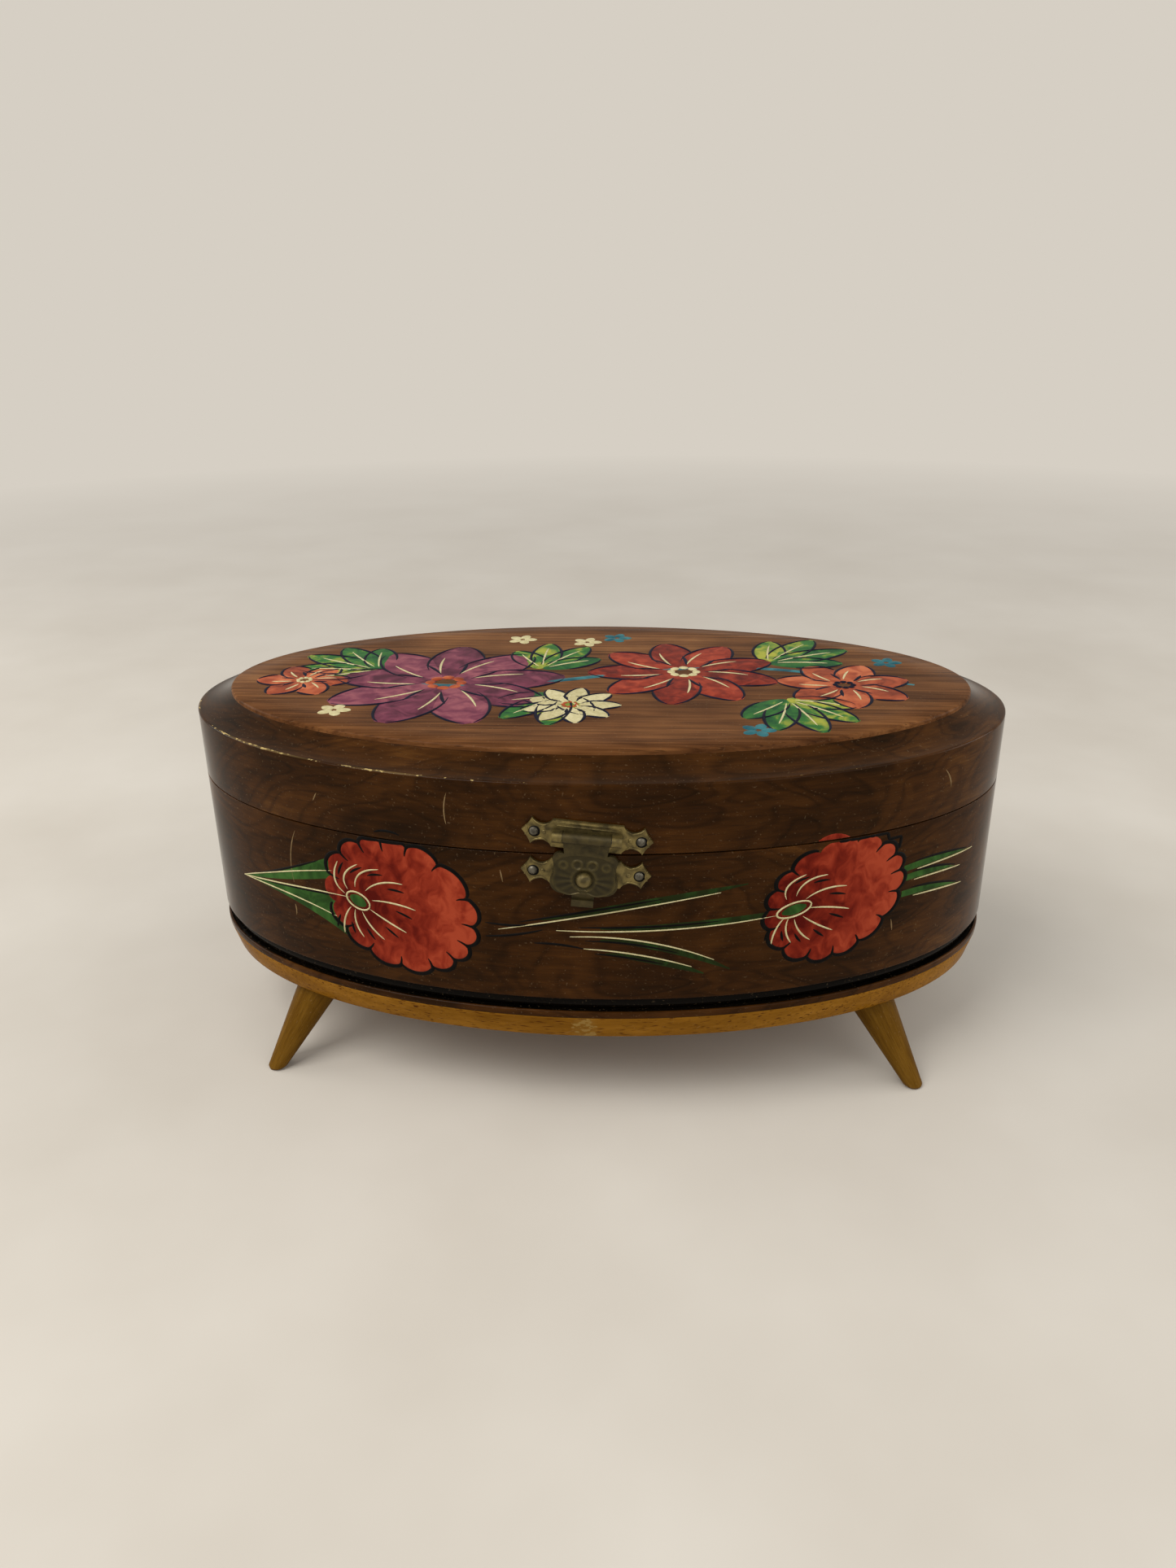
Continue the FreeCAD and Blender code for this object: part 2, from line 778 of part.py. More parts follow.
deck = across_case(wall + press_fit, -deck_half, deck_half, z_deck, z_deck_top)
pieces["stage_deck"] = deck.cut(stage_holes(press_fit, z_deck - cut_over, z_deck_top + cut_over))
cover = across_case(wall + liner, -deck_half, deck_half, z_deck_top, z_stage)
pieces["stage_cover"] = cover.cut(stage_holes(soft_gap, z_deck_top - cut_over, z_stage + cut_over))
pieces["wall_liner"] = oval_ring(wall + press_fit, wall + liner, z_stage,
                                 z_parting - liner_below_rim)


# Bed, barrel and bridge of the movement

bridge_inside = crown_outer + 2 * soft_gap + bridge_sheet / 2
bridge_outside = bridge_inside + bridge_sheet
bridge_screw_x = bridge_outside + bridge_foot / 2
comb_screw_x = comb_x + comb_root / 2
comb_screw_ys = (comb_y + 0.25 * comb_width, comb_y + 0.75 * comb_width)
comb_z = z_cylinder - comb_thickness / 2


def screw_from_below(x, y):
    head = upright(screw_head_radius, x, y, z_board - screw_head_height, z_board)
    return head.fuse(upright(screw_radius, x, y, z_board, z_bed_top - screw_tip_gap))


def screw_from_above(x, y, seat, depth):
    head = upright(fine_screw_head_radius, x, y, seat, seat + screw_head_height)
    return head.fuse(upright(fine_screw_radius, x, y, seat - depth, seat))


bed_screws = [screw_from_below(x, y) for x, y in bed_screw_spots]
bridge_screws = [screw_from_above(side * bridge_screw_x, 0, z_bed_top + bridge_sheet,
                                  bridge_sheet + bed_thickness) for side in (-1, 1)]
comb_screws = [screw_from_above(comb_screw_x, y, comb_z + comb_thickness, comb_screw_depth)
               for y in comb_screw_ys]


def bedplate():
    plate = block(bed_left, bed_right, bed_front, bed_back, z_bed, z_bed_top)
    corners = [edge for edge in plate.Edges if edge.BoundBox.ZLength > bed_thickness / 2]
    plate = plate.makeFillet(bed_corner, corners)
    bosses = [upright(boss_radius, x, y, z_floor, z_bed) for x, y in bed_screw_spots]
    bore = upright(arbor_radius + running_fit, 0, 0, z_bed - cut_over, z_bed_top + cut_over)
    guide = upright(stop_rod_radius + running_fit, stop_x, stop_y, z_bed - cut_over, z_bed_top + cut_over)
    return joined([plate] + bosses).cut([bore, guide] + bed_screws + bridge_screws)


def barrel_bridge():
    half = bridge_width / 2
    high = z_bridge + bridge_sheet
    strip = block(-bridge_outside, bridge_outside, -half, half, z_bridge, high)
    shapes = [strip]
    for side in (-1, 1):
        x0, x1 = sorted((side * bridge_inside, side * bridge_outside))
        shapes.append(block(x0, x1, -half, half, z_bed_top, high))
        x0, x1 = sorted((side * bridge_inside, side * (bridge_outside + bridge_foot)))
        shapes.append(block(x0, x1, -half, half, z_bed_top, z_bed_top + bridge_sheet))
    bore = upright(cap_hub_radius + running_fit, 0, 0, z_bridge - cut_over, high + cut_over)
    return joined(shapes).cut([bore] + bridge_screws)


def spring_barrel():
    """Drum with a rim of upright crown teeth that drive the cylinder's pinion."""
    inside = barrel_radius - barrel_wall
    bore = arbor_radius + running_fit
    low = z_crown - crown_thickness
    drum = turned([
        (bore, z_barrel), (barrel_radius, z_barrel), (barrel_radius, low),
        (crown_outer, low), (crown_outer, z_crown), (barrel_radius, z_crown),
        (barrel_radius, z_cap), (inside, z_cap), (inside, z_barrel + barrel_wall),
        (bore, z_barrel + barrel_wall)])
    base = tooth_root_half * tooth_pitch
    tip = tooth_tip_half * tooth_pitch
    high = crown_gap + tooth_rise
    sunk = -running_fit
    spots = [(-base, sunk), (base, sunk), (tip, high), (-tip, high)]
    points = [Vector(x, barrel_radius + soft_gap, z_crown + z) for x, z in spots]
    face = Part.Face(Part.makePolygon(points + points[:1]))
    tooth = face.extrude(Vector(0, crown_width - 1.5 * soft_gap, 0))
    turn = 360 / crown_teeth
    teeth = [tooth.rotated(Vector(0, 0, 0), Vector(0, 0, 1), turn * count)
             for count in range(crown_teeth)]
    return drum.fuse(teeth)


def mainspring():
    """Flat strip wound as a spiral between the arbor and the drum."""
    start = arbor_core_radius + soft_gap
    end = barrel_radius - barrel_wall - soft_gap - spring_strip
    steps = spring_turns * spring_sides
    sides = []
    for offset in (0, spring_strip):
        spots = []
        for step in range(steps + 1):
            angle = 2 * math.pi * spring_turns * step / steps
            radius = start + (end - start) * step / steps + offset
            spots.append(Vector(radius * math.cos(angle), radius * math.sin(angle), 0))
        sides.append(spots)
    outline = sides[0] + sides[1][::-1]
    low = z_barrel + barrel_wall + soft_gap
    face = Part.Face(Part.makePolygon(outline + outline[:1])).translated(Vector(0, 0, low))
    return face.extrude(Vector(0, 0, z_cap - soft_gap - low))


movement["bedplate"] = bedplate()
movement["movement_screws"] = Part.makeCompound(bed_screws + bridge_screws)
movement["barrel_bridge"] = barrel_bridge()
movement["spring_barrel"] = spring_barrel()
movement["barrel_cap"] = turned([
    (spindle_radius, z_cap + cap_thickness / 2), (0, z_cap + cap_thickness / 2), (0, z_cap),
    (barrel_radius, z_cap), (barrel_radius, z_cap + cap_thickness),
    (cap_hub_radius, z_cap + cap_thickness),
    (cap_hub_radius, z_bridge + bridge_sheet), (spindle_radius, z_bridge + bridge_sheet)])
movement["mainspring"] = mainspring()


# Winding arbor and key

z_key_top = z_board - key_gap
z_key_ears = z_key_top - key_hub_length


def winding_key():
    """Hub with two pierced ears, as on a butterfly key."""
    hub = upright(key_hub_radius, 0, 0, z_key_ears, z_key_top)
    half = key_sheet / 2
    web = block(-key_ear_spread, key_ear_spread, -half, half,
                z_key_ears - key_ear_radius / 2, z_key_ears + key_ear_radius / 2)
    shapes = [hub, web]
    holes = []
    for side in (-1, 1):
        x = side * key_ear_spread
        shapes.append(along_y(key_ear_radius, x, -half, half, z_key_ears))
        holes.append(along_y(key_hole_radius, x, -key_sheet, key_sheet, z_key_ears))
    bore = upright(arbor_radius + press_fit, 0, 0, z_key_ears + key_bore_floor, z_key_top + cut_over)
    return joined(shapes).cut(holes + [bore])


core_low = z_barrel + barrel_wall + running_fit
movement["winding_key"] = winding_key()
movement["winding_arbor"] = turned([
    (0, z_key_ears + key_bore_floor), (arbor_radius, z_key_ears + key_bore_floor),
    (arbor_radius, core_low),
    (arbor_core_radius, core_low), (arbor_core_radius, z_cap - soft_gap),
    (0, z_cap - soft_gap)])


# Pinned cylinder, comb, wheel train and fly

def pinned_cylinder():
    """Drum with square pins, three to a track, each in line with a tooth of the comb."""
    drum = along_y(cylinder_radius, 0, cylinder_y, cylinder_end, z_cylinder)
    pin = block(cylinder_radius - pin_root, cylinder_radius + pin_height,
                -pin_radius, pin_radius, -pin_radius, pin_radius)
    pins = []
    for track in range(comb_tracks):
        y = comb_y + (track + 0.5) * comb_track_width
        for count in range(pins_per_track):
            angle = track * (track_turn + count * track_shift) + count * 360 / pins_per_track
            turned_pin = pin.rotated(Vector(0, 0, 0), Vector(0, 1, 0), angle)
            pins.append(turned_pin.translated(Vector(0, y, z_cylinder)))
    bore = along_y(cylinder_arbor_radius, 0, cylinder_y, cylinder_end, z_cylinder)
    return drum.fuse(pins).cut(bore)


def cylinder_arbor():
    shaft = along_y(cylinder_arbor_radius, 0, barrel_radius + 2 * soft_gap,
                    train_end + bracket_sheet, z_cylinder)
    gap_down = -90 + 180 / pinion_teeth
    start = barrel_radius + 2 * soft_gap
    pinion = wheel(pinion_teeth, pinion_radius, tooth_pitch, gap_down, 0, start,
                   crown_outer - soft_gap - start)
    return joined([shaft, pinion])


def plate_with_bores(y, x0, x1, bores):
    top = z_cylinder + bracket_half
    plate = block(x0, x1, y, y + bracket_sheet, z_bed_top, top)
    cuts = [along_y(radius + running_fit, x, y - cut_over, y + bracket_sheet + cut_over, z_cylinder)
            for x, radius in bores]
    return plate.cut(cuts)


def comb():
    plate = block(comb_tip, comb_x + comb_root, comb_y, comb_y + comb_width,
                  comb_z, comb_z + comb_thickness)
    slots = []
    for gap in range(1, comb_tracks):
        y = comb_y + gap * comb_track_width
        slots.append(block(comb_tip - cut_over, comb_x - gap * comb_step, y - comb_gap / 2,
                           y + comb_gap / 2, comb_z - cut_over, comb_z + comb_thickness + cut_over))
    return plate.cut(slots + comb_screws)


def comb_base():
    base = block(comb_x, comb_x + comb_root, comb_y, comb_y + comb_width, z_bed_top, comb_z)
    return base.cut(comb_screws)


def idler():
    shaft = along_y(train_arbor_radius, idler_x, train_y, train_end + bracket_sheet, z_cylinder)
    pinion = train_wheel(idler_pinion_teeth, 180 / idler_pinion_teeth, idler_x, first_wheel_y)
    large = train_wheel(idler_wheel_teeth, 180, idler_x, second_wheel_y)
    return joined([shaft, pinion, large])


def governor_fly():
    shaft = along_y(train_arbor_radius, fly_x, fly_y, train_end + bracket_sheet, z_cylinder)
    pinion = train_wheel(fly_pinion_teeth, 180 / fly_pinion_teeth, fly_x, second_wheel_y)
    blades = block(fly_x - fly_radius, fly_x + fly_radius, fly_y, fly_end,
                   z_cylinder - fly_sheet / 2, z_cylinder + fly_sheet / 2)
    return joined([shaft, pinion, blades])


train_bores = [(0, cylinder_arbor_radius), (idler_x, train_arbor_radius),
               (fly_x, train_arbor_radius)]
movement["pinned_cylinder"] = pinned_cylinder()
movement["cylinder_arbor"] = cylinder_arbor()
ring_bore = along_y(cylinder_arbor_radius, 0, first_wheel_y, first_wheel_y + wheel_face, z_cylinder)
movement["cylinder_wheel"] = train_wheel(cylinder_wheel_teeth, 180, 0, first_wheel_y).cut(ring_bore)
movement["cylinder_bracket"] = plate_with_bores(bracket_y, -bracket_half, bracket_half,
                                              train_bores[:1])
movement["train_bracket"] = plate_with_bores(train_y, fly_x - bracket_half, bracket_half, train_bores)
movement["train_plate"] = plate_with_bores(train_end, fly_x - bracket_half, bracket_half, train_bores)
movement["comb_base"] = comb_base()
movement["comb"] = comb()
movement["comb_screws"] = Part.makeCompound(comb_screws)
movement["idler"] = idler()
movement["governor_fly"] = governor_fly()


# Stop rod and its lifting spring

z_collar = z_bed_top + stop_collar_height


def stop_rod():
    shaft = upright(stop_rod_radius, stop_x, stop_y, z_bed, z_lining - soft_gap)
    collar = upright(stop_collar_radius, stop_x, stop_y, z_collar, z_collar + stop_collar_thickness)
    finger = rod(stop_finger_radius, Vector(stop_x, stop_y, z_cylinder),
                 Vector(fly_x - fly_radius - soft_gap, stop_y, z_cylinder))
    return joined([shaft, collar, finger])


movement["stop_rod"] = stop_rod()
movement["stop_spring"] = tube(stop_collar_radius - running_fit, stop_rod_radius + running_fit,
                             Vector(stop_x, stop_y, z_bed_top + press_fit),
                             Vector(stop_x, stop_y, z_collar - press_fit))


# Dancer, her spring and her spindle

def lying(shape):
    """Carry a shape from the dancer's own upright axis to her place under the lid."""
    leaned = shape.rotated(Vector(0, 0, 0), Vector(0, 1, 0), dancer_tilt)
    return set_back(leaned.translated(Vector(0, 0, z_pivot)))


def rounded_arm(side):
    """Round bar along the arc from the shoulder over the elbow to the hand above the head."""
    start = Vector(0, side * (chest_radius - arm_radius), shoulder - arm_radius)
    elbow = Vector(0, side * elbow_reach, head_height)
    hand = Vector(0, side * hand_reach, head_height + hand_rise)
    path = Part.Wire(Part.Arc(start, elbow, hand).toShape())
    way = path.Edges[0].tangentAt(path.Edges[0].FirstParameter)
    ring = Part.Wire(Part.makeCircle(arm_radius, start, way))
    return path.makePipeShell([ring], True, False), Part.makeSphere(hand_radius, hand)


def dancer_figure():
    """Dancer on one toe with both arms rounded overhead."""
    hip = toe + leg_length
    chest = (waist + shoulder) / 2
    body = turned([
        (0, toe), (spring_radius, toe), (spring_radius, toe + toe_plate),
        (ankle_radius, toe + 2 * toe_plate), (knee_radius, toe + 0.3 * leg_length),
        (thigh_radius, toe + 0.6 * leg_length), (hip_radius, hip), (hip_radius, hip + hip_height / 2),
        (waist_radius, waist), (chest_radius, chest), (chest_radius, shoulder - arm_radius),
        (neck_radius, shoulder + arm_radius), (neck_radius, head_height), (0, head_height)])
    head = Part.makeSphere(head_radius, Vector(0, 0, head_height))
    bun = Part.makeSphere(bun_radius, Vector(0, 0, head_height + head_radius + bun_radius / 2))
    shapes = [body, head, bun]
    for side in (-1, 1):
        shapes.extend(rounded_arm(side))
    return lying(joined(shapes))


def dancer_tutu():
    inner = hip_radius + running_fit
    high = waist - tutu_thickness / 2
    return lying(turned([
        (inner, high - tutu_thickness), (tutu_radius, high - tutu_drop - tutu_thickness),
        (tutu_radius, high - tutu_drop), (inner, high)]))


z_seat = z_pivot - pivot_room - seat_height
movement["dancer_spindle"] = turned([
    (0, z_cap + cap_thickness / 2), (spindle_radius, z_cap + cap_thickness / 2),
    (spindle_radius, z_seat), (spring_radius + spring_tube, z_seat),
    (spring_radius + spring_tube, z_seat + seat_height), (0, z_seat + seat_height)])
bore = spindle_radius + running_fit
movement["stage_bush"] = turned([
    (bore, z_deck), (bush_radius, z_deck), (bush_radius, z_stage),
    (bush_flange_radius, z_stage), (bush_flange_radius, z_stage + bush_flange),
    (bore, z_stage + bush_flange)])
pieces["dancer_spring"] = lying(tube(spring_radius, spring_radius - spring_tube,
                                     Vector(0, 0, spring_start), Vector(0, 0, spring_end)))
pieces["dancer_figure"] = dancer_figure()
pieces["dancer_tutu"] = dancer_tutu()
for name, shape in movement.items():
    pieces[name] = set_back(shape)


os.makedirs("parts", exist_ok=True)
for name, shape in pieces.items():
    shape.exportStep(f"parts/{name}.step")
    solids = shape.Solids
    print(name, len(solids), shape.isValid(), round(sum(s.Volume for s in solids), 1))
print(len(pieces), "pieces")
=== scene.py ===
import json
import math

import bpy
import numpy as np
from mathutils import Matrix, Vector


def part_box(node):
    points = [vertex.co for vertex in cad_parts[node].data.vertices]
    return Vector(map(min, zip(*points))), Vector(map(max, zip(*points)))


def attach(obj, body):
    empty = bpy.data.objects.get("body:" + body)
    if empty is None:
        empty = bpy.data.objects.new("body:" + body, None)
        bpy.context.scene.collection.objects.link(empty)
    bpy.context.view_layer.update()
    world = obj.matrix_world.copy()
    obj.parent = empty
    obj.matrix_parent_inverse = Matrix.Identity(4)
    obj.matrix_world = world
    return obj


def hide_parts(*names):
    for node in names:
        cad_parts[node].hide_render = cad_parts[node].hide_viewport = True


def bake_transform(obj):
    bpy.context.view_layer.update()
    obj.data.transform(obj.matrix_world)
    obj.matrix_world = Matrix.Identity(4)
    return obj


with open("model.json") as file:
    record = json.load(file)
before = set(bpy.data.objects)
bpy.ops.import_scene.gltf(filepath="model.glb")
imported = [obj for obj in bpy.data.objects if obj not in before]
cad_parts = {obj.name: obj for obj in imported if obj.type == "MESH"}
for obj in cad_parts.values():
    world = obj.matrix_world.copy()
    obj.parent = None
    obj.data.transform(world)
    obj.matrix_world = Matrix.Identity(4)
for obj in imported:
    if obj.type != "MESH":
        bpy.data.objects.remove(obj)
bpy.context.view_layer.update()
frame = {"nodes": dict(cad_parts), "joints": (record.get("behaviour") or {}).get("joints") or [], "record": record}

# Sizes in this script are millimetres, and a mesh is written in metres.
MM = 0.001
FULL_TURN = 2 * math.pi
slot_of = {part["node"]: part["material_slot"] for part in frame["record"]["subparts"]}


def box_of(node):
    """Lowest and highest corner of a CAD node."""
    low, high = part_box(node)
    return np.array(low) / MM, np.array(high) / MM


def joint_of(name):
    """Point and axis of a joint at rest."""
    found = next(joint for joint in frame["joints"] if joint["name"] == name)
    return np.array(found["pos_m"]) / MM, np.array(found["axis"])


# Places taken from the frame
wall_low, wall_high = box_of("body_wall")
rim_low, rim_high = box_of("lid_rim")
panel_low, panel_high = box_of("lid_panel")
board_low, board_high = box_of("base_board")
band_low, band_high = box_of("groove_band")
mirror_low, mirror_high = box_of("lid_mirror")
lining_low, lining_high = box_of("lid_lining")
liner_low, liner_high = box_of("wall_liner")
half_length, half_depth = wall_high[:2]
wall = half_length - liner_high[0]
panel_inset = half_length - panel_high[0]
z_seam = wall_high[2]
clasp_pin, clasp_axis = joint_of("hasp_swing")
fold_point, _ = joint_of("dancer_fold")
_, dancer_axis = joint_of("dancer_spin")

# Sizes of the turned and moulded wood
edge_round = 0.5
foot_round = 0.3
groove_round = 0.15
seam_round = 0.15
seam_close = 0.25
groove_depth = 2.6
groove_recess = 1.2
bead_rise = 0.8
bead_back = 0.1
ledge_coat = 0.08
cove_start = math.radians(8)
cove_drop = 1.2
edge_drop = 4.4
shelf_width = 4.5
shelf_thickness = 3.0
shelf_round = 0.2
panel_bevel = 0.5
board_draw_in = 1.8
board_foot_round = 0.9
key_hole_radius = 4.2
leg_top_radius = 6.4
leg_foot_radius = 2.3
leg_foot_round = 0.8
z_edge = rim_high[2] + cove_drop - edge_drop

# Wear: the rim's edge, most on the left of the front, and a pale chip on the bottom board's edge
edge_wear_width = 0.6
edge_wear = 0.94
left_wear = 0.18
chip_half = 4.6
chip_mark = 1.4
chip_fade = 0.5
chip_height = 0.35

# Paint layers, from the wood outwards
paint_sink = 0.05
under_lift = 0.06
colour_lift = 0.10
dark_lift = 0.17
light_lift = 0.26


# Points and lines
def unit(vectors):
    """Vectors brought to length one."""
    return vectors / np.linalg.norm(vectors, axis=-1, keepdims=True)


def direction(degrees):
    """Unit vector at an angle."""
    return np.array([math.cos(math.radians(degrees)), math.sin(math.radians(degrees))])


def left_of(ahead):
    """Vectors of a plane a quarter turn to the left."""
    return np.stack([-ahead[..., 1], ahead[..., 0]], -1)


def turned(points, degrees):
    """Points of a plane turned about its origin."""
    ahead = direction(degrees)
    return points[..., :1] * ahead + points[..., 1:] * left_of(ahead)


def full_turn(count):
    """Even angles once round."""
    return np.linspace(0, FULL_TURN, count, endpoint=False)


def ellipse(half_axes, angle):
    """Points of an ellipse at given angles."""
    return np.stack([half_axes[0] * np.cos(angle), half_axes[1] * np.sin(angle)], -1)


def in_space(x, y, z):
    """Points from three coordinates, brought to one shape."""
    return np.stack(np.broadcast_arrays(x, y, z), -1)


def at_height(outline, z):
    """A line of the plane as points in space."""
    return in_space(outline[:, 0], outline[:, 1], z)


def rounded(corners, radius, steps=5):
    """Outline whose corners are parabolas that begin and end one radius from the corner."""
    corners = np.array(corners, float)
    reach = np.broadcast_to(radius, len(corners))[:, None]
    start = corners + reach * unit(np.roll(corners, 1, axis=0) - corners)
    end = corners + reach * unit(np.roll(corners, -1, axis=0) - corners)
    t = np.linspace(0, 1, steps)[None, :, None]
    curve = (1 - t) ** 2 * start[:, None] + 2 * t * (1 - t) * corners[:, None] + t ** 2 * end[:, None]
    return curve.reshape(-1, 2)


def smooth_line(points, count):
    """Catmull-Rom curve: a cubic on each span, its end slopes half the step between the neighbours."""
    points = np.array(points, float)
    p = np.concatenate([2 * points[:1] - points[1:2], points, 2 * points[-1:] - points[-2:-1]])
    s = np.linspace(0, len(points) - 1, count)
    span = np.minimum(s.astype(int), len(points) - 2)
    t = (s - span)[:, None]
    a, b, c, d = p[span], p[span + 1], p[span + 2], p[span + 3]
    return b + 0.5 * t * (c - a + t * (2 * a - 5 * b + 4 * c - d + t * (3 * (b - c) + d - a)))


def bowed(start, end, bow=0.0, begin=0.0, stop=1.0, shift=0.0, count=7):
    """Straight line from start to end plus a parabola to its left, or a stretch of it, shifted up."""
    s = np.linspace(begin, stop, count)[:, None]
    ahead = np.array(end) - np.array(start, float)
    return start + s * ahead + 4 * bow * s * (1 - s) * left_of(unit(ahead)) + [0, shift]


def vein(start, degrees, reach, bow=0.0, begin=0.0):
    """Bowed line from a place, along an angle."""
    return bowed(start, np.array(start) + reach * direction(degrees), bow, begin, count=6)


# Meshes from whole arrays
def surface(points, tone=0.0, loop=False, closed=()):
    """Quads between the points of a grid; UV is the length along the columns and along the rows.

    The columns always join up. The rows join up in a loop, or a closed row, which is the first (0)
    or the last (-1), is filled by a fan to its middle.
    """
    rows, columns = points.shape[:2]
    around_step = np.linalg.norm(np.roll(points, -1, axis=1) - points, axis=2)
    widest = around_step.sum(axis=1).argmax()
    u = np.concatenate([[0.0], around_step[widest].cumsum()])
    up_step = np.linalg.norm(np.roll(points, -1, axis=0) - points, axis=2)[:, 0]
    v = np.concatenate([[0.0], up_step.cumsum()])
    row = np.arange(rows - (not loop))[:, None, None] + np.array([0, 0, 1, 1])
    column = np.arange(columns)[None, :, None] + np.array([0, 1, 1, 0])
    row, column = np.broadcast_arrays(row, column)

    flat = points.reshape(-1, 3)
    tones = np.broadcast_to(tone, (rows, columns)).ravel()
    around = np.arange(columns)
    middles, middle_tones, fans, fan_uv = [], [], [np.empty((0, 3), int)], [np.empty((0, 3, 2))]
    for line in closed:
        first = line % rows * columns
        ring = np.stack([first + around, first + (around + 1) % columns], -1)
        centre = np.full((columns, 1), len(flat) + len(middles))
        fans.append(np.concatenate([centre, ring[:, ::-1] if line == 0 else ring], 1))
        fan_uv.append(in_space(u[around[:, None] + [0, 0, 1]], v[line % rows], 0)[..., :2])
        middles.append(flat[ring[:, 0]].mean(axis=0))
        middle_tones.append(tones[ring[:, 0]].mean())
    return {
        "points": np.concatenate([flat, np.array(middles).reshape(-1, 3)]),
        "tones": np.concatenate([tones, middle_tones]),
        "quads": ((row % rows) * columns + column % columns).reshape(-1, 4),
        "quad_uv": np.stack([u[column], v[row]], -1).reshape(-1, 2),
        "fans": np.concatenate(fans),
        "fan_uv": np.concatenate(fan_uv).reshape(-1, 2),
    }


def capped(points, tone=0.0):
    """Surface closed at its first and last row."""
    return surface(points, tone, closed=(0, -1))


def looped(points, tone=0.0):
    """Surface whose last row joins its first."""
    return surface(points, tone, loop=True)


def add_piece(name, surfaces, material, body=None, stands_for=(), crease=35):
    """One mesh object from surfaces, which rides on a body and stands for CAD nodes."""
    surfaces = surfaces if isinstance(surfaces, list) else [surfaces]
    first = np.cumsum([0] + [len(made["points"]) for made in surfaces])
    points, tones, quad_uv, fan_uv = (np.concatenate([made[key] for made in surfaces])
                                      for key in ("points", "tones", "quad_uv", "fan_uv"))
    quads, fans = (np.concatenate([made[key] + start for made, start in zip(surfaces, first)])
                   for key in ("quads", "fans"))
    corners = np.concatenate([quads.ravel(), fans.ravel()])
    starts = np.concatenate([4 * np.arange(len(quads)), 4 * len(quads) + 3 * np.arange(len(fans))])

    mesh = bpy.data.meshes.new(name)
    mesh.vertices.add(len(points))
    mesh.vertices.foreach_set("co", points.ravel() * MM)
    mesh.loops.add(len(corners))
    mesh.loops.foreach_set("vertex_index", corners.astype(np.int32))
    mesh.polygons.add(len(starts))
    mesh.polygons.foreach_set("loop_start", starts.astype(np.int32))
    mesh.update(calc_edges=True)
    mesh.uv_layers.new(name="Length").data.foreach_set("uv", np.concatenate([quad_uv, fan_uv]).ravel())
    mesh.attributes.new("tone", "FLOAT", "POINT").data.foreach_set("value", tones)
    mesh.shade_smooth()
    mesh.set_sharp_from_angle(angle=math.radians(crease))
    mesh.materials.append(material)
    piece = bpy.data.objects.new(name, mesh)
    bpy.context.collection.objects.link(piece)
    if body:
        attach(piece, body)
    if stands_for:
        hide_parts(*stands_for)
    return piece


def oval_angles(count):
    """Angles of points spaced evenly along the oval, from the middle of the back and round."""
    fine = np.linspace(0, FULL_TURN, 8001) + math.pi / 2
    speed = np.hypot(half_length * np.sin(fine), half_depth * np.cos(fine))
    length = np.concatenate([[0.0], np.cumsum(0.5 * (speed[1:] + speed[:-1]))])
    return np.interp(np.arange(count) / count * length[-1], length, fine)


def carried_round(profile, angles):
    """A profile of (inset, height) carried round the oval, whose half axes shrink by the inset."""
    inset, height = profile[:, :1], profile[:, 1:]
    return in_space((half_length - inset) * np.cos(angles), (half_depth - inset) * np.sin(angles), height)


def lathe(profile, columns=40, squash=(1.0, 1.0), centre=(0.0, 0.0, 0.0)):
    """A profile of (radius, height) turned about the upright through a centre, with squashed half axes."""
    profile = np.array(profile, float)
    radius, height = profile[:, :1], profile[:, 1:]
    turn = full_turn(columns)
    return in_space(squash[0] * radius * np.cos(turn), squash[1] * radius * np.sin(turn), height) + centre


def ball(centre, half_axes, rows=14, columns=24):
    """Ellipsoid: sines and cosines of latitude and longitude times the three half axes."""
    latitude = np.linspace(-0.47, 0.47, rows) * math.pi
    return lathe(ellipse((1.0, half_axes[2]), latitude), columns, half_axes[:2], centre)


def ringed(line, radius, first, second, columns):
    """Circles about the points of a line, each in the plane of two directions."""
    turn = full_turn(columns)[None, :, None]
    radius = np.broadcast_to(radius, len(line))[:, None, None]
    return line[:, None] + radius * (np.cos(turn) * first[:, None] + np.sin(turn) * second[:, None])


def tube(line, radius):
    """Circles square to a line in space, their sides set by the direction in which it spreads least."""
    along = unit(np.gradient(line, axis=0))
    side = unit(np.cross(np.eye(3)[np.ptp(line, axis=0).argmin()], along))
    return ringed(line, radius, side, np.cross(along, side), 12)


def coiled_tube(line, radius):
    """Circles square to a winding line, their sides set by its curvature."""
    along = unit(np.gradient(line, axis=0))
    bend = np.gradient(along, axis=0)
    inward = unit(bend - along * (bend * along).sum(axis=1, keepdims=True))
    return ringed(line, radius, inward, np.cross(along, inward), 8)


# Node helpers
def put(tree, kind, values=None, **settings):
    """A shader node; a socket among the values becomes a link, anything else a constant."""
    made = tree.nodes.new(kind)
    for name, value in settings.items():
        setattr(made, name, value)
    for name, value in (values or {}).items():
        if isinstance(value, bpy.types.NodeSocket):
            tree.links.new(value, made.inputs[name])
        else:
            made.inputs[name].default_value = value
    return made


def feed(node, **sockets):
    """Links into a node's inputs, which are named with underscores."""
    for name, socket in sockets.items():
        node.id_data.links.new(socket, node.inputs[name.replace("_", " ")])


def math_node(tree, operation, first, second=0.0, third=0.5, clamp=False):
    """Result of one arithmetic step."""
    values = {0: first, 1: second, 2: third}
    return put(tree, "ShaderNodeMath", values, operation=operation, use_clamp=clamp).outputs[0]


def stretched(tree, vector, scale):
    """A vector multiplied axis by axis."""
    return put(tree, "ShaderNodeVectorMath", {0: vector, 1: scale}, operation="MULTIPLY").outputs[0]


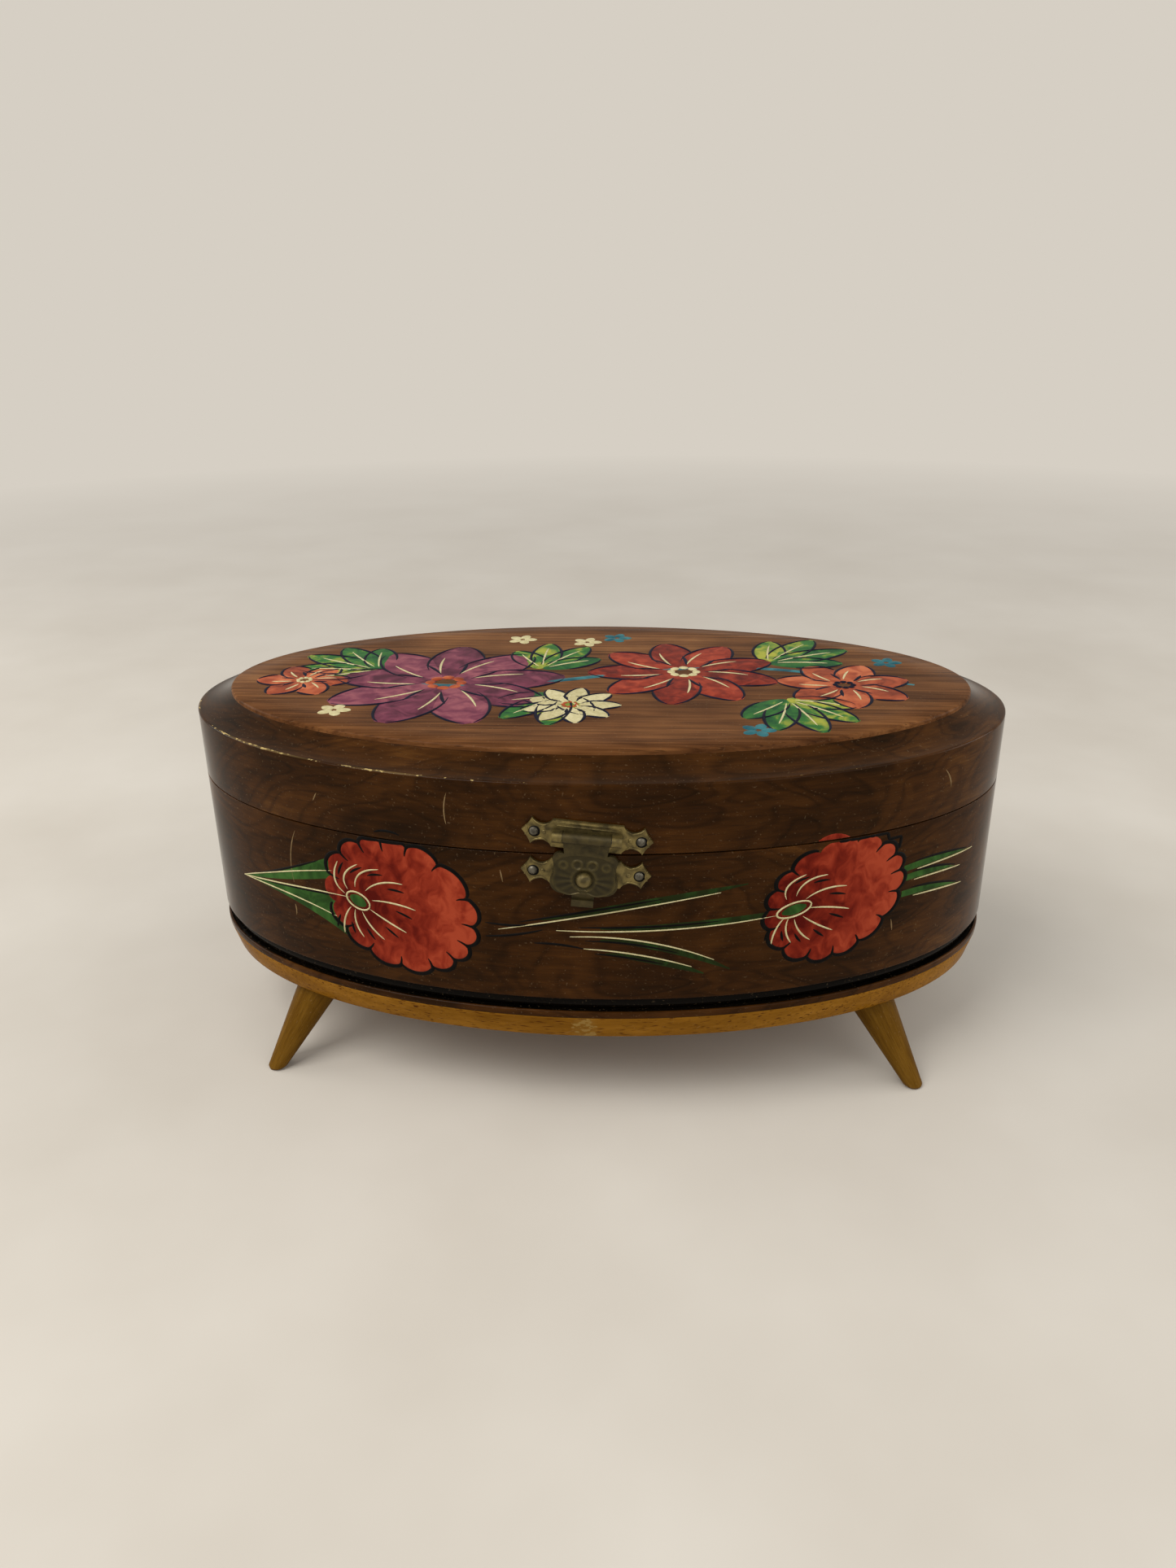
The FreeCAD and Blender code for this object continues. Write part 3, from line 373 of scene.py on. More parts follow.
def noise(tree, vector, scale=1.0, detail=2.0, distortion=0.0):
    """Value of a three-dimensional noise."""
    values = {"Vector": vector, "Scale": scale, "Detail": detail, "Distortion": distortion}
    return put(tree, "ShaderNodeTexNoise", values).outputs["Fac"]


def ranged(tree, value, low, high, first=0.0, last=1.0):
    """A value taken from one range to another and held within it."""
    values = {"Value": value, "From Min": low, "From Max": high, "To Min": first, "To Max": last}
    return put(tree, "ShaderNodeMapRange", values).outputs[0]


def blended(tree, factor, first, second):
    """Two values mixed."""
    return put(tree, "ShaderNodeMix", {0: factor, 2: first, 3: second}).outputs[0]


def mixed(tree, factor, first, second):
    """Two colours mixed."""
    return put(tree, "ShaderNodeMix", {0: factor, 6: first, 7: second}, data_type="RGBA").outputs[2]


def tone_of(tree):
    """The mesh's own tone."""
    return put(tree, "ShaderNodeAttribute", attribute_name="tone").outputs["Fac"]


def linear(red, green, blue):
    """Linear colour of an 8-bit display colour."""
    share = np.array([red, green, blue]) / 255
    return (*np.where(share <= 0.04045, share / 12.92, ((share + 0.055) / 1.055) ** 2.4), 1.0)


def ramp(tree, value, *stops):
    """Colour ramp through stops of (place, display colour)."""
    made = put(tree, "ShaderNodeValToRGB", {"Fac": value})
    elements = made.color_ramp.elements
    while len(elements) < len(stops):
        elements.new(0.5)
    for element, (place, colour) in zip(elements, stops):
        element.position = place
        element.color = linear(*colour)
    return made.outputs[0]


def new_group(name, inputs, outputs):
    """Empty shader node group with its sockets; returns the tree, its inputs and its end node."""
    tree = bpy.data.node_groups.new(name, "ShaderNodeTree")
    for socket, kind, value in inputs:
        made = tree.interface.new_socket(socket, in_out="INPUT", socket_type="NodeSocket" + kind)
        if value is not None:
            made.default_value = value
    for socket in outputs:
        tree.interface.new_socket(socket, in_out="OUTPUT", socket_type="NodeSocketFloat")
    start = tree.nodes.new("NodeGroupInput")
    return tree, start.outputs, tree.nodes.new("NodeGroupOutput")


def wood_group():
    """Wood figure: lines from a sine of stretched noise over clouds of it, with finer fibre and pores."""
    inputs = [("Vector", "Vector", None), ("Stretch", "Vector", (1, 1, 1)),
              ("Fibre Stretch", "Vector", (1, 1, 1)), ("Rings", "Float", 20.0),
              ("Line Depth", "Float", 0.4), ("Swirl", "Float", 0.5)]
    tree, given, end = new_group("Wood Figure", inputs, ["Figure", "Fibre", "Pores"])
    place = stretched(tree, given["Vector"], given["Stretch"])
    base = noise(tree, place, detail=2.5, distortion=given["Swirl"])
    wave = math_node(tree, "SINE", math_node(tree, "MULTIPLY", base, given["Rings"]))
    lines = math_node(tree, "POWER", ranged(tree, wave, -1.0, 1.0), 3.0)
    depth = math_node(tree, "MULTIPLY", lines, given["Line Depth"])
    fibre_place = stretched(tree, given["Vector"], given["Fibre Stretch"])
    values = {0: base.node.outputs["Color"], 1: (1.2, 1.2, 1.2), 2: fibre_place}
    bent = put(tree, "ShaderNodeVectorMath", values, operation="MULTIPLY_ADD").outputs[0]
    feed(end, Figure=math_node(tree, "SUBTRACT", ranged(tree, base, 0.3, 0.7), depth, clamp=True),
         Fibre=ranged(tree, noise(tree, bent, detail=4.0), 0.3, 0.7),
         Pores=ranged(tree, noise(tree, bent, scale=2.7, detail=1.0), 0.60, 0.72))
    return tree


def scuff_group():
    """Lacquer scuffs: two sets of long thin noise turned apart, kept where they peak, and cloudy haze."""
    tree, given, end = new_group("Lacquer Scuffs", [("Vector", "Vector", None)], ["Scratches", "Haze"])
    sets = []
    for angle, grain in ((0.35, (0.05, 2.4, 2.4)), (-1.1, (0.07, 2.0, 2.0))):
        values = {"Vector": given["Vector"], "Rotation": (angle, angle, angle)}
        place = stretched(tree, put(tree, "ShaderNodeMapping", values).outputs[0], grain)
        sets.append(ranged(tree, noise(tree, place, detail=1.0), 0.70, 0.78))
    feed(end, Scratches=math_node(tree, "MAXIMUM", *sets), Haze=noise(tree, given["Vector"], 0.05, 3.0))
    return tree


def wear_group():
    """Wear along an edge: spots of noise where the edge mark is high, and a faint line at its very top."""
    inputs = [("Vector", "Vector", None), ("Edge", "Float", 0.0)]
    tree, given, end = new_group("Edge Chips", inputs, ["Mask"])
    chips = noise(tree, stretched(tree, given["Vector"], (0.6, 1.0, 1.0)), detail=3.0)
    zones = noise(tree, given["Vector"], scale=0.04, detail=1.0)
    spread = math_node(tree, "ADD", chips, math_node(tree, "MULTIPLY", zones, 0.5))
    spots = ranged(tree, math_node(tree, "MULTIPLY", spread, given["Edge"]), 0.90, 0.95)
    thin = math_node(tree, "MULTIPLY", given["Edge"], ranged(tree, zones, 0.35, 0.65, 0.85, 1.05))
    line = math_node(tree, "MULTIPLY", ranged(tree, thin, 0.97, 1.12), 0.18)
    feed(end, Mask=math_node(tree, "MAXIMUM", spots, line))
    return tree


def tarnish_group():
    """Metal tarnish: cloudy noise for the dark film and fine noise for the grain."""
    inputs = [("Vector", "Vector", None), ("Scale", "Float", 1.0)]
    tree, given, end = new_group("Tarnish", inputs, ["Film", "Grain"])
    cloud = noise(tree, given["Vector"], scale=given["Scale"], detail=5.0, distortion=0.4)
    feed(end, Film=ranged(tree, cloud, 0.35, 0.68), Grain=noise(tree, given["Vector"], scale=6.0))
    return tree


wood_figure = wood_group()
lacquer_scuffs = scuff_group()
edge_chips = wear_group()
tarnish = tarnish_group()


def new_material(name, **sockets):
    """Material with constants on its shader; returns the material, its tree and its shader."""
    material = bpy.data.materials.new(name)
    material.use_nodes = True
    shader = material.node_tree.nodes["Principled BSDF"]
    for socket, value in sockets.items():
        shader.inputs[socket.replace("_", " ")].default_value = value
    return material, material.node_tree, shader


def millimetres(tree, source="Object"):
    """Texture place in millimetres: a piece's own UV lengths, or its place in the object."""
    place = put(tree, "ShaderNodeTexCoord").outputs[source]
    return place if source == "UV" else stretched(tree, place, (1 / MM, 1 / MM, 1 / MM))


def grouped(tree, group, **values):
    """A node group used in a material."""
    values = {name.replace("_", " "): value for name, value in values.items()}
    return put(tree, "ShaderNodeGroup", values, node_tree=group).outputs


def bump(tree, height, distance):
    """Bump from a height, in millimetres."""
    values = {"Strength": 1.0, "Distance": distance * MM, "Height": height}
    return put(tree, "ShaderNodeBump", values).outputs[0]


def wood_material(name, source, stops, stretch, fibre_stretch, rings, swirl, lines=0.4, fibre=0.35,
                  pores=0.4, pore_colour=(30, 17, 9), contrast=1.0, mottle=0.18, roughness=0.4, coat=0.0,
                  chips=None):
    """Lacquered or bare wood: a figure through a colour ramp, with fibre, pores, scuffs and chips."""
    material, tree, shader = new_material(name, Specular_IOR_Level=0.0, Coat_Weight=coat,
                                          Coat_Roughness=0.14, Coat_IOR=1.15)
    place = millimetres(tree, source)
    grain = grouped(tree, wood_figure, Vector=place, Stretch=stretch, Fibre_Stretch=fibre_stretch,
                    Rings=rings, Line_Depth=lines, Swirl=swirl)
    scuffs = grouped(tree, lacquer_scuffs, Vector=place)
    tone = blended(tree, fibre, grain["Figure"], grain["Fibre"])
    tone = ranged(tree, tone, 0.0, 1.0, 0.5 - 0.5 * contrast, 0.5 + 0.5 * contrast)
    tone = math_node(tree, "ADD", tone, ranged(tree, scuffs["Haze"], 0.3, 0.7, -mottle, mottle))
    colour = ramp(tree, tone, *stops)
    colour = mixed(tree, math_node(tree, "MULTIPLY", grain["Pores"], pores), colour, linear(*pore_colour))
    scratches = math_node(tree, "MULTIPLY", scuffs["Scratches"], 0.12)
    colour = mixed(tree, scratches, colour, linear(170, 145, 110))
    if chips:
        worn = grouped(tree, edge_chips, Vector=place, Edge=tone_of(tree))["Mask"]
        colour = mixed(tree, worn, colour, linear(*chips))
    rough = math_node(tree, "MULTIPLY_ADD", scuffs["Haze"], 0.25, roughness - 0.12)
    rough = math_node(tree, "ADD", rough, math_node(tree, "MULTIPLY", scuffs["Scratches"], 0.2))
    feed(shader, Base_Color=colour, Roughness=rough, Normal=bump(tree, grain["Fibre"], 0.03))
    return material


def metal_material(name, bright, dark, roughness, metallic=1.0, cloud=0.25, recess=None):
    """Metal whose dull film follows the tarnish clouds; a stamped face keeps dirt where its tone is low."""
    material, tree, shader = new_material(name, Metallic=metallic)
    film = grouped(tree, tarnish, Vector=millimetres(tree), Scale=cloud)
    colour = mixed(tree, film["Film"], linear(*bright), linear(*dark))
    if recess:
        colour = mixed(tree, tone_of(tree), linear(*recess), colour)
    rough = ranged(tree, film["Film"], 0.0, 1.0, roughness, roughness + 0.2)
    feed(shader, Base_Color=colour, Roughness=rough, Normal=bump(tree, film["Grain"], 0.02))
    return material


def paint_material(name, *stops, daubs=0.22, roughness=0.38, rise=0.05):
    """Brushed paint: the colour follows the tone of the mesh and daubs of noise."""
    material, tree, shader = new_material(name, IOR=1.3, Specular_IOR_Level=0.1, Roughness=roughness)
    place = stretched(tree, millimetres(tree), (1.0, 1.0, 0.7))
    daub = noise(tree, place, scale=daubs, detail=3.0, distortion=0.8)
    value = math_node(tree, "ADD", tone_of(tree), ranged(tree, daub, 0.3, 0.7, -0.35, 0.35))
    feed(shader, Base_Color=ramp(tree, value, *stops), Normal=bump(tree, daub, rise))
    return material


def cloth_material(name, deep, light, sheen, weave=1.6, height=0.12, roughness=0.8):
    """Pile or woven cloth: fine noise for the nap, cloudy noise where it is brushed, and a sheen."""
    material, tree, shader = new_material(name, Roughness=roughness, Sheen_Weight=sheen,
                                          Sheen_Roughness=0.4)
    place = millimetres(tree)
    nap = noise(tree, place, scale=weave)
    value = ranged(tree, blended(tree, 0.5, nap, noise(tree, place, scale=0.07, detail=3.0)), 0.35, 0.65)
    colour = mixed(tree, value, linear(*deep), linear(*light))
    feed(shader, Base_Color=colour, Normal=bump(tree, nap, height))
    return material


# Finishes
dark_veneer = wood_material(
    "dark_veneer", "UV",
    ((0.05, (24, 11, 1)), (0.4, (44, 23, 4)), (0.7, (62, 35, 9)), (0.95, (84, 52, 18))),
    stretch=(0.016, 0.032, 0.03), fibre_stretch=(0.10, 1.0, 1.0), rings=95.0, swirl=1.3, lines=0.32,
    fibre=0.3, pores=0.35, contrast=0.8, mottle=0.2, roughness=0.38, coat=1.0, chips=(170, 148, 96))
top_board = wood_material(
    "top_board", "Object",
    ((0.05, (62, 36, 17)), (0.45, (94, 59, 32)), (0.75, (116, 76, 43)), (0.95, (136, 94, 56))),
    stretch=(0.005, 0.09, 0.02), fibre_stretch=(0.03, 1.1, 1.1), rings=60.0, swirl=0.3, lines=0.45,
    fibre=0.45, pores=0.55, contrast=0.9, roughness=0.42, coat=0.4)
beech = wood_material(
    "beech", "Object", ((0.05, (112, 73, 15)), (0.5, (131, 88, 23)), (0.95, (150, 104, 33))),
    stretch=(0.008, 0.12, 0.12), fibre_stretch=(0.13, 0.9, 0.9), rings=10.0, swirl=0.3, lines=0.2,
    fibre=0.4, pores=1.0, pore_colour=(78, 43, 8), roughness=0.44, coat=0.4, chips=(142, 112, 58))
leg_beech = wood_material(
    "leg_beech", "UV", ((0.05, (82, 54, 11)), (0.5, (98, 68, 18)), (0.95, (115, 82, 27))),
    stretch=(0.12, 0.012, 0.1), fibre_stretch=(1.4, 0.12, 0.1), rings=9.0, swirl=0.2, lines=0.2,
    fibre=0.5, pores=0.5, pore_colour=(66, 40, 8), roughness=0.4, coat=0.5)
inner_wood = wood_material(
    "inner_wood", "Object", ((0.05, (126, 96, 62)), (0.5, (152, 120, 82)), (0.95, (172, 140, 100))),
    stretch=(0.02, 0.02, 0.12), fibre_stretch=(0.1, 0.1, 1.2), rings=12.0, swirl=0.2, roughness=0.6)
black_lacquer = wood_material(
    "black_lacquer", "UV", ((0.1, (4, 3, 2)), (0.9, (12, 8, 5))), stretch=(0.02, 0.2, 0.1),
    fibre_stretch=(0.1, 1.0, 1.0), rings=6.0, swirl=0.2, pores=0.0, roughness=0.22, coat=1.0)
aged_brass = metal_material("aged_brass", (126, 111, 66), (66, 57, 32), 0.3, 0.7, 0.5)
dark_brass = metal_material("dark_brass", (70, 60, 30), (46, 39, 17), 0.42, 0.6, 0.5)
stamped_brass = metal_material("stamped_brass", (76, 66, 33), (56, 48, 22), 0.34, 0.65, 0.5, (40, 34, 15))
bright_brass = metal_material("bright_brass", (214, 176, 98), (176, 138, 70), 0.24)
steel = metal_material("steel", (168, 168, 165), (112, 110, 106), 0.3)
dull_steel = metal_material("dull_steel", (104, 100, 88), (60, 56, 48), 0.38, 0.7, 0.9)
bed_metal = metal_material("bed_metal", (150, 150, 146), (118, 116, 110), 0.5)
mirror_glass, _, _ = new_material("mirror", Base_Color=linear(232, 236, 236), Metallic=1.0, Roughness=0.03)
velvet = cloth_material("velvet", (92, 14, 24), (138, 30, 42), 0.7)
satin = cloth_material("satin", (196, 150, 152), (226, 188, 186), 0.3, 2.6, 0.03, 0.38)
tulle = cloth_material("tulle", (226, 176, 188), (246, 216, 222), 0.4, 3.5, 0.05, 0.7)
skin = paint_material("skin_paint", (0.2, (226, 178, 146)), (0.8, (238, 196, 166)), rise=0.01)
hair = paint_material("hair_paint", (0.2, (52, 30, 18)), (0.8, (78, 46, 26)), rise=0.03)
bodice_paint = paint_material("bodice_paint", (0.2, (206, 120, 144)), (0.8, (228, 152, 172)), rise=0.02)
face_paint = paint_material("face_paint", (0.2, (46, 26, 22)), (0.8, (60, 34, 28)), rise=0.0)
lip_paint = paint_material("lip_paint", (0.2, (176, 48, 52)), (0.8, (190, 60, 60)), rise=0.0)
paints = {
    "red": paint_material("red_paint", (0.05, (80, 14, 8)), (0.4, (114, 32, 18)), (0.7, (138, 47, 28)),
                          (1.0, (160, 64, 40)), daubs=0.32),
    "green": paint_material("green_paint", (0.1, (30, 38, 15)), (0.5, (36, 64, 26)), (0.9, (56, 94, 40))),
    "leaf": paint_material("leaf_paint", (0.1, (18, 70, 38)), (0.5, (48, 104, 44)), (0.9, (156, 158, 58))),
    "cream": paint_material("cream_paint", (0.2, (178, 168, 124)), (0.8, (202, 193, 151)), daubs=0.8),
    "black": paint_material("black_paint", (0.2, (9, 8, 7)), (0.8, (17, 15, 14)), roughness=0.5),
    "navy": paint_material("navy_paint", (0.2, (13, 14, 28)), (0.8, (24, 26, 44)), roughness=0.5),
    "plum": paint_material("plum_paint", (0.1, (70, 26, 44)), (0.5, (106, 48, 68)), (0.9, (140, 78, 88))),
    "rust": paint_material("rust_paint", (0.1, (108, 44, 26)), (0.5, (154, 72, 44)), (0.9, (186, 104, 66))),
    "teal": paint_material("teal_paint", (0.2, (24, 78, 90)), (0.8, (54, 114, 120))),
    "scratch": paint_material("scratch_paint", (0.2, (104, 84, 56)), (0.8, (140, 116, 82)), daubs=0.6),
}

# Bare CAD pieces take the finish of their slot.
finish_of = {
    "dark_veneer": dark_veneer, "top_board": top_board, "black_lacquer": black_lacquer, "beech": beech,
    "leg_beech": leg_beech, "inner_wood": inner_wood, "aged_brass": aged_brass, "steel": steel,
    "bright_brass": bright_brass, "bed_metal": bed_metal, "velvet": velvet, "satin": satin,
    "mirror": mirror_glass, "painted_figure": skin, "tulle": tulle,
}
for name, node in frame["nodes"].items():
    node.data.materials.clear()
    node.data.materials.append(dark_brass if name in ("hasp", "clasp_catch") else finish_of[slot_of[name]])


# Wooden case and lid
oval = oval_angles(320)


def wall_profile():
    """Outline of the wall: lip, groove, tall side and inside, its corners rounded."""
    z_foot, z_groove, z_groove_top = wall_low[2], band_low[2], band_high[2]
    corners = [(0, z_foot), (0, z_groove), (groove_depth, z_groove), (groove_depth, z_groove_top),
               (0, z_groove_top), (0, z_seam), (wall, z_seam), (wall, z_foot)]
    return rounded(corners, [foot_round, edge_round, groove_round, groove_round, edge_round, seam_round,
                             edge_round, foot_round])


def rim_profile():
    """Outline of the rim: side, worn edge, cove as a circular arc, rebate for the panel, and hollow."""
    width, rise = panel_inset - edge_round, rim_high[2] - z_edge
    sweep = 2 * (math.atan2(rise, width) - cove_start)
    radius = math.hypot(rise, width) / (2 * math.sin(sweep / 2))
    turn = cove_start + sweep * np.linspace(0, 1, 14)
    cove = np.stack([edge_round + radius * (np.sin(turn) - math.sin(cove_start)),
                     z_edge + radius * (math.cos(cove_start) - np.cos(turn))], -1)
    # The third corner only leads the second one into the cove, and its own points are left out.
    lead = (edge_round * 2, z_edge + 0.1)
    outside = rounded([(0, rim_low[2]), (0, z_edge), lead, (wall, rim_low[2] - seam_close)],
                      [seam_round, edge_round, 0.1, edge_round])
    side, under = outside[:10], outside[15:]
    shelf_inset, z_shelf = panel_inset + shelf_width, panel_low[2]
    z_under = z_shelf - shelf_thickness
    hollow = rounded([(panel_inset, z_shelf), (shelf_inset, z_shelf), (shelf_inset, z_under),
                      (wall, z_under)], shelf_round)
    return np.concatenate([side, cove[1:], hollow, under])


def panel_grid():
    """Flat board: oval rings that grow under it, rise over a small bevel and shrink on top."""
    z_low, z_top = panel_low[2], panel_high[2]
    side = np.array([(panel_inset, z_low), (panel_inset, z_top - panel_bevel),
                     (panel_inset + panel_bevel / 2, z_top - panel_bevel / 4),
                     (panel_inset + panel_bevel, z_top)])
    edge = carried_round(side, oval)
    top = [edge[-1] * [share, share, 1] for share in np.linspace(0.9, 0.1, 9)]
    return np.concatenate([edge[:1] * [0.05, 0.05, 1], edge, top])


def board_grid():
    """Bottom board: from the key hole out to the drawn-in edge, up to the wall's foot, and back."""
    z_low, z_top = board_low[2], board_high[2]
    hole = ellipse((key_hole_radius, key_hole_radius), oval)
    edge_inset = half_length - board_high[0]
    # The last two corners only give the first two their directions, and their own points are left out.
    corners = [(edge_inset + board_draw_in, z_low), (edge_inset, z_top), (half_depth, z_top),
               (half_depth, z_low)]
    sides = rounded(corners, [board_foot_round, foot_round, foot_round, foot_round])[:10]
    return np.stack([at_height(hole, z_low), *carried_round(sides, oval), at_height(hole, z_top)])


def bead_profile():
    """Black band: a half-round bead between blackened ledges, on a flat back."""
    low, high = band_low[2], band_high[2]
    turn = np.linspace(-0.5, 0.5, 11) * math.pi
    height = 0.5 * (low + high) + (0.5 * (high - low) - ledge_coat) * np.sin(turn)
    front = np.stack([groove_recess + bead_rise * (1 - np.cos(turn)), height], -1)
    below = [(edge_round, low), (edge_round, low + ledge_coat)]
    above = [(edge_round, high - ledge_coat), (edge_round, high)]
    back = [(groove_depth + bead_back, high), (groove_depth + bead_back, low)]
    return np.concatenate([below, front, above, back])


def leg_grid(node):
    """Splayed tapered leg: circles along the slanted axis, each sheared level, with a rounded foot."""
    low, high = box_of(node)
    outward = np.sign(low + high)[:2]
    foot = np.where(outward > 0, high[:2], low[:2]) - outward * leg_foot_radius
    top = np.where(outward > 0, low[:2], high[:2]) + outward * leg_top_radius
    height = np.concatenate([[0.0, 0.2, leg_foot_round], np.linspace(2.0, board_low[2], 12)])[:, None]
    share = height / board_low[2]
    radius = leg_foot_radius + (leg_top_radius - leg_foot_radius) * share
    radius -= leg_foot_round * np.clip(1 - height / leg_foot_round, 0, 1) ** 2
    centre = foot + (top - foot) * share
    turn = full_turn(40)
    return in_space(centre[:, :1] + radius * np.cos(turn), centre[:, 1:] + radius * np.sin(turn), height)


rim_outline = rim_profile()
edge_mark = np.exp(-((rim_outline[:, 1] - z_edge) / edge_wear_width) ** 2) * (rim_outline[:, 0] < 1)
left_front = np.clip(0.5 - np.cos(oval), 0, 1) * np.clip(0.25 - np.sin(oval), 0, 1)
edge_mark = edge_mark[:, None] * (edge_wear + left_wear * left_front)
board = board_grid()
chip_share = (board[..., 2] - board_low[2]) / (board_high[2] - board_low[2])
board_chip = np.exp(-(board[..., 0] / chip_half) ** 4) * (board[..., 1] < -0.9 * half_depth)
board_chip = board_chip * (chip_mark - chip_fade * np.abs(chip_share - chip_height))
add_piece("case_wall", looped(carried_round(wall_profile(), oval)), dark_veneer, "case", ["body_wall"])
add_piece("lid_side", looped(carried_round(rim_outline, oval), edge_mark), dark_veneer, "lid", ["lid_rim"])
add_piece("lid_board", capped(panel_grid()), top_board, "lid", ["lid_panel"])
add_piece("bottom_board", looped(board, board_chip), beech, "case", ["base_board"])
add_piece("groove_bead", looped(carried_round(bead_profile(), oval)), black_lacquer, "case",
          ["groove_band"])
for place in ("front_left", "front_right", "rear_left", "rear_right"):
    add_piece("turned_leg_" + place, capped(leg_grid("leg_" + place)), leg_beech, "case", ["leg_" + place])


# Places that paint and relief lie on
def on_wall(x, z, lift):
    """Point of the front wall at x and height z, lifted along the oval's outward normal."""
    y = -half_depth * np.sqrt(1 - (x / half_length) ** 2)
    slope_x, slope_y = x / half_length ** 2, y / half_depth ** 2
    size = np.hypot(slope_x, slope_y)
    return in_space(x + lift * slope_x / size, y + lift * slope_y / size, z)


def on_board(x, y, lift):
    """Point of the lid's flat top, lifted upwards."""
    return in_space(x, y, panel_high[2] + lift)


def stroke(place, points, width, lift, taper=0.4, count=26, tone=0.5, lean=1.0):
    """Brush line: a flattened tube along a smooth curve, its width a power of a sine from end to end.

    A lean above 1 moves the widest place towards the end.
    """
    line = smooth_line(points, count)
    side = left_of(unit(np.gradient(line, axis=0)))
    share = np.sin(math.pi * np.linspace(0.02, 0.98, count) ** lean)[:, None] ** taper
    turn = full_turn(10)
    height = np.where(np.sin(turn) > 0, lift, paint_sink) * np.sin(turn) * share
    spot = line[:, None] + (0.5 * width * share * np.cos(turn))[..., None] * side[:, None]
    return capped(place(spot[..., 0], spot[..., 1], height), tone)


def patch(place, first_edge, second_edge, lift, tone=0.5):
    """Paint between two smooth lines, the second to the left of the first: the sides of a flat tube."""
    first, second = smooth_line(first_edge, 40)[:, None], smooth_line(second_edge, 40)[:, None]
    turn = full_turn(14)
    spot = 0.5 * (first + second) + 0.5 * (second - first) * np.cos(turn)[None, :, None]
    height = np.where(np.sin(turn) > 0, lift, paint_sink) * np.sin(turn)
    return capped(place(spot[..., 0], spot[..., 1], height), tone)


# Carnations on the front: hub, ring with its tilt, tilted oval, lobes, gap in the outline, fan of veins
paint_top = z_seam - 0.4
notch_depth = 0.12
left_bloom = {"hub": (-52, 53.5), "ring": (3, 2, -25), "centre": (-42, 54), "half_axes": (19, 16.5),
              "tilt": -25, "ruffles": 15, "gap": (180, 215), "fan": (115, -115, 9), "reach": 9.5}
right_bloom = {"hub": (46.5, 54.5), "ring": (4, 1.7, 15), "centre": (56, 55.5), "half_axes": (17, 14.5),
               "tilt": 35, "ruffles": 15, "gap": (0, 60), "fan": (75, -120, 8), "reach": 8.5}
# Left leaves run from one tip to a low and a high place on the bloom, each side with its bow.
leaf_tip = (-85, 50)
left_leaves = [((-58, 58), 0.0, (-59, 63), 0.0), ((-55, 43), 2.5, (-52, 53.5), 1.0)]
left_lines = [((-58, 60), 1.0), ((-54, 54), 1.0), ((-58, 48), 1.5)]
# Right leaves start one above another: height, length and fall
right_leaf_start = 72
leaf_half = 0.8
right_leaves = [(59.5, 17, 1), (57, 14, 1.5), (53, 15, 2.5)]
# Stems between the blooms, as start, end and bow, and how far their green lies above them
stems = [((-19, 51), (30, 60.5), 0.5, 0.8), ((-6, 51.5), (43, 53.5), -0.7, 0.7),
         ((-3, 50), (29, 43.5), 2.2, -0.8), ((0, 47), (24, 42), 1.0, -0.8)]
stem_hairs = [((-22, 52.5), (-8, 53), -0.5), ((-22, 49), (-9, 51.5), -0.4), ((-11, 48), (0, 47), 0.4)]
wall_scratches = [((-67, 68), (-69, 54), -1.0), ((-69.5, 48), (-69.5, 45), 0.2),
                  ((-18, 66), (-17.5, 63), 0.0), ((70, 47), (70.5, 44), 0.0)]
lid_scratches = [((-29, 83.5), (-29.5, 76), -0.5), ((-60, 79), (-61, 77), 0.0), ((80, 82), (82, 77), 0.4)]
lid_arc = bowed((-46.5, 72), (-40.5, 72), 0.6)
lid_petal = bowed((51, 70.75), (58, 70.75)), bowed((51, 70.9), (58, 70.9), 1.2)
# Brushes as width, lift, taper and number of points
cream_line = (0.34, light_lift, 0.35, 40)
vein_line = (0.48, light_lift, 0.35, 40)
ring_line = (0.5, light_lift, 0.1)
black_line = (0.6, dark_lift, 0.5)
shadow_line = (0.75, dark_lift, 0.6)
edge_line = (1.0, dark_lift, 0.3, 34)
tooth_line = (0.75, dark_lift, 0.15, 12)
green_line = (1.8, colour_lift, 0.7)
scratch_line = (0.3, colour_lift, 0.6)
front_paint = {colour: [] for colour in ("red", "green", "cream", "black", "scratch")}


def draw(colour, points, *brush, **more):
    """Brush line on the front wall."""
    front_paint[colour].append(stroke(on_wall, points, *brush, **more))


def bloom_edge(bloom, angle, factor):
    """Point of a bloom's tilted oval at an angle, with a factor on its radius, kept below the seam."""
    half_axes = bloom["half_axes"][0] * factor, bloom["half_axes"][1] * factor
    spot = bloom["centre"] + turned(ellipse(half_axes, angle), bloom["tilt"])
    return np.minimum(spot, [np.inf, paint_top])


def uneven(angle):
    """Angle pushed on and back by two sines, so that what is even in it becomes uneven."""
    return angle + 0.07 * np.sin(2 * angle + 1.0) + 0.06 * np.sin(3 * angle)


def lobed(bloom, angle):
    """Share of a bloom's radius: rounded lobes, a root of a sine's size, between sharp notches."""
    lobe = np.abs(np.sin(0.5 * bloom["ruffles"] * uneven(angle)))
    return 1 - notch_depth * (1 - lobe ** 0.5)


def bloom_surface(bloom):
    """Painted bloom: a tilted oval with a lobed edge; its tone is the distance from the hub."""
    share = np.append(np.linspace(0.05, 0.97, 16), 1.0)[:, None]
    angle = full_turn(360)
    spot = bloom_edge(bloom, angle, share * (1 - share ** 4 + share ** 4 * lobed(bloom, angle)))
    height = np.where(share < 1, colour_lift, -paint_sink)
    away = np.linalg.norm(spot - np.array(bloom["hub"]), axis=2)
    return capped(on_wall(spot[..., 0], spot[..., 1], height), away / away.max())


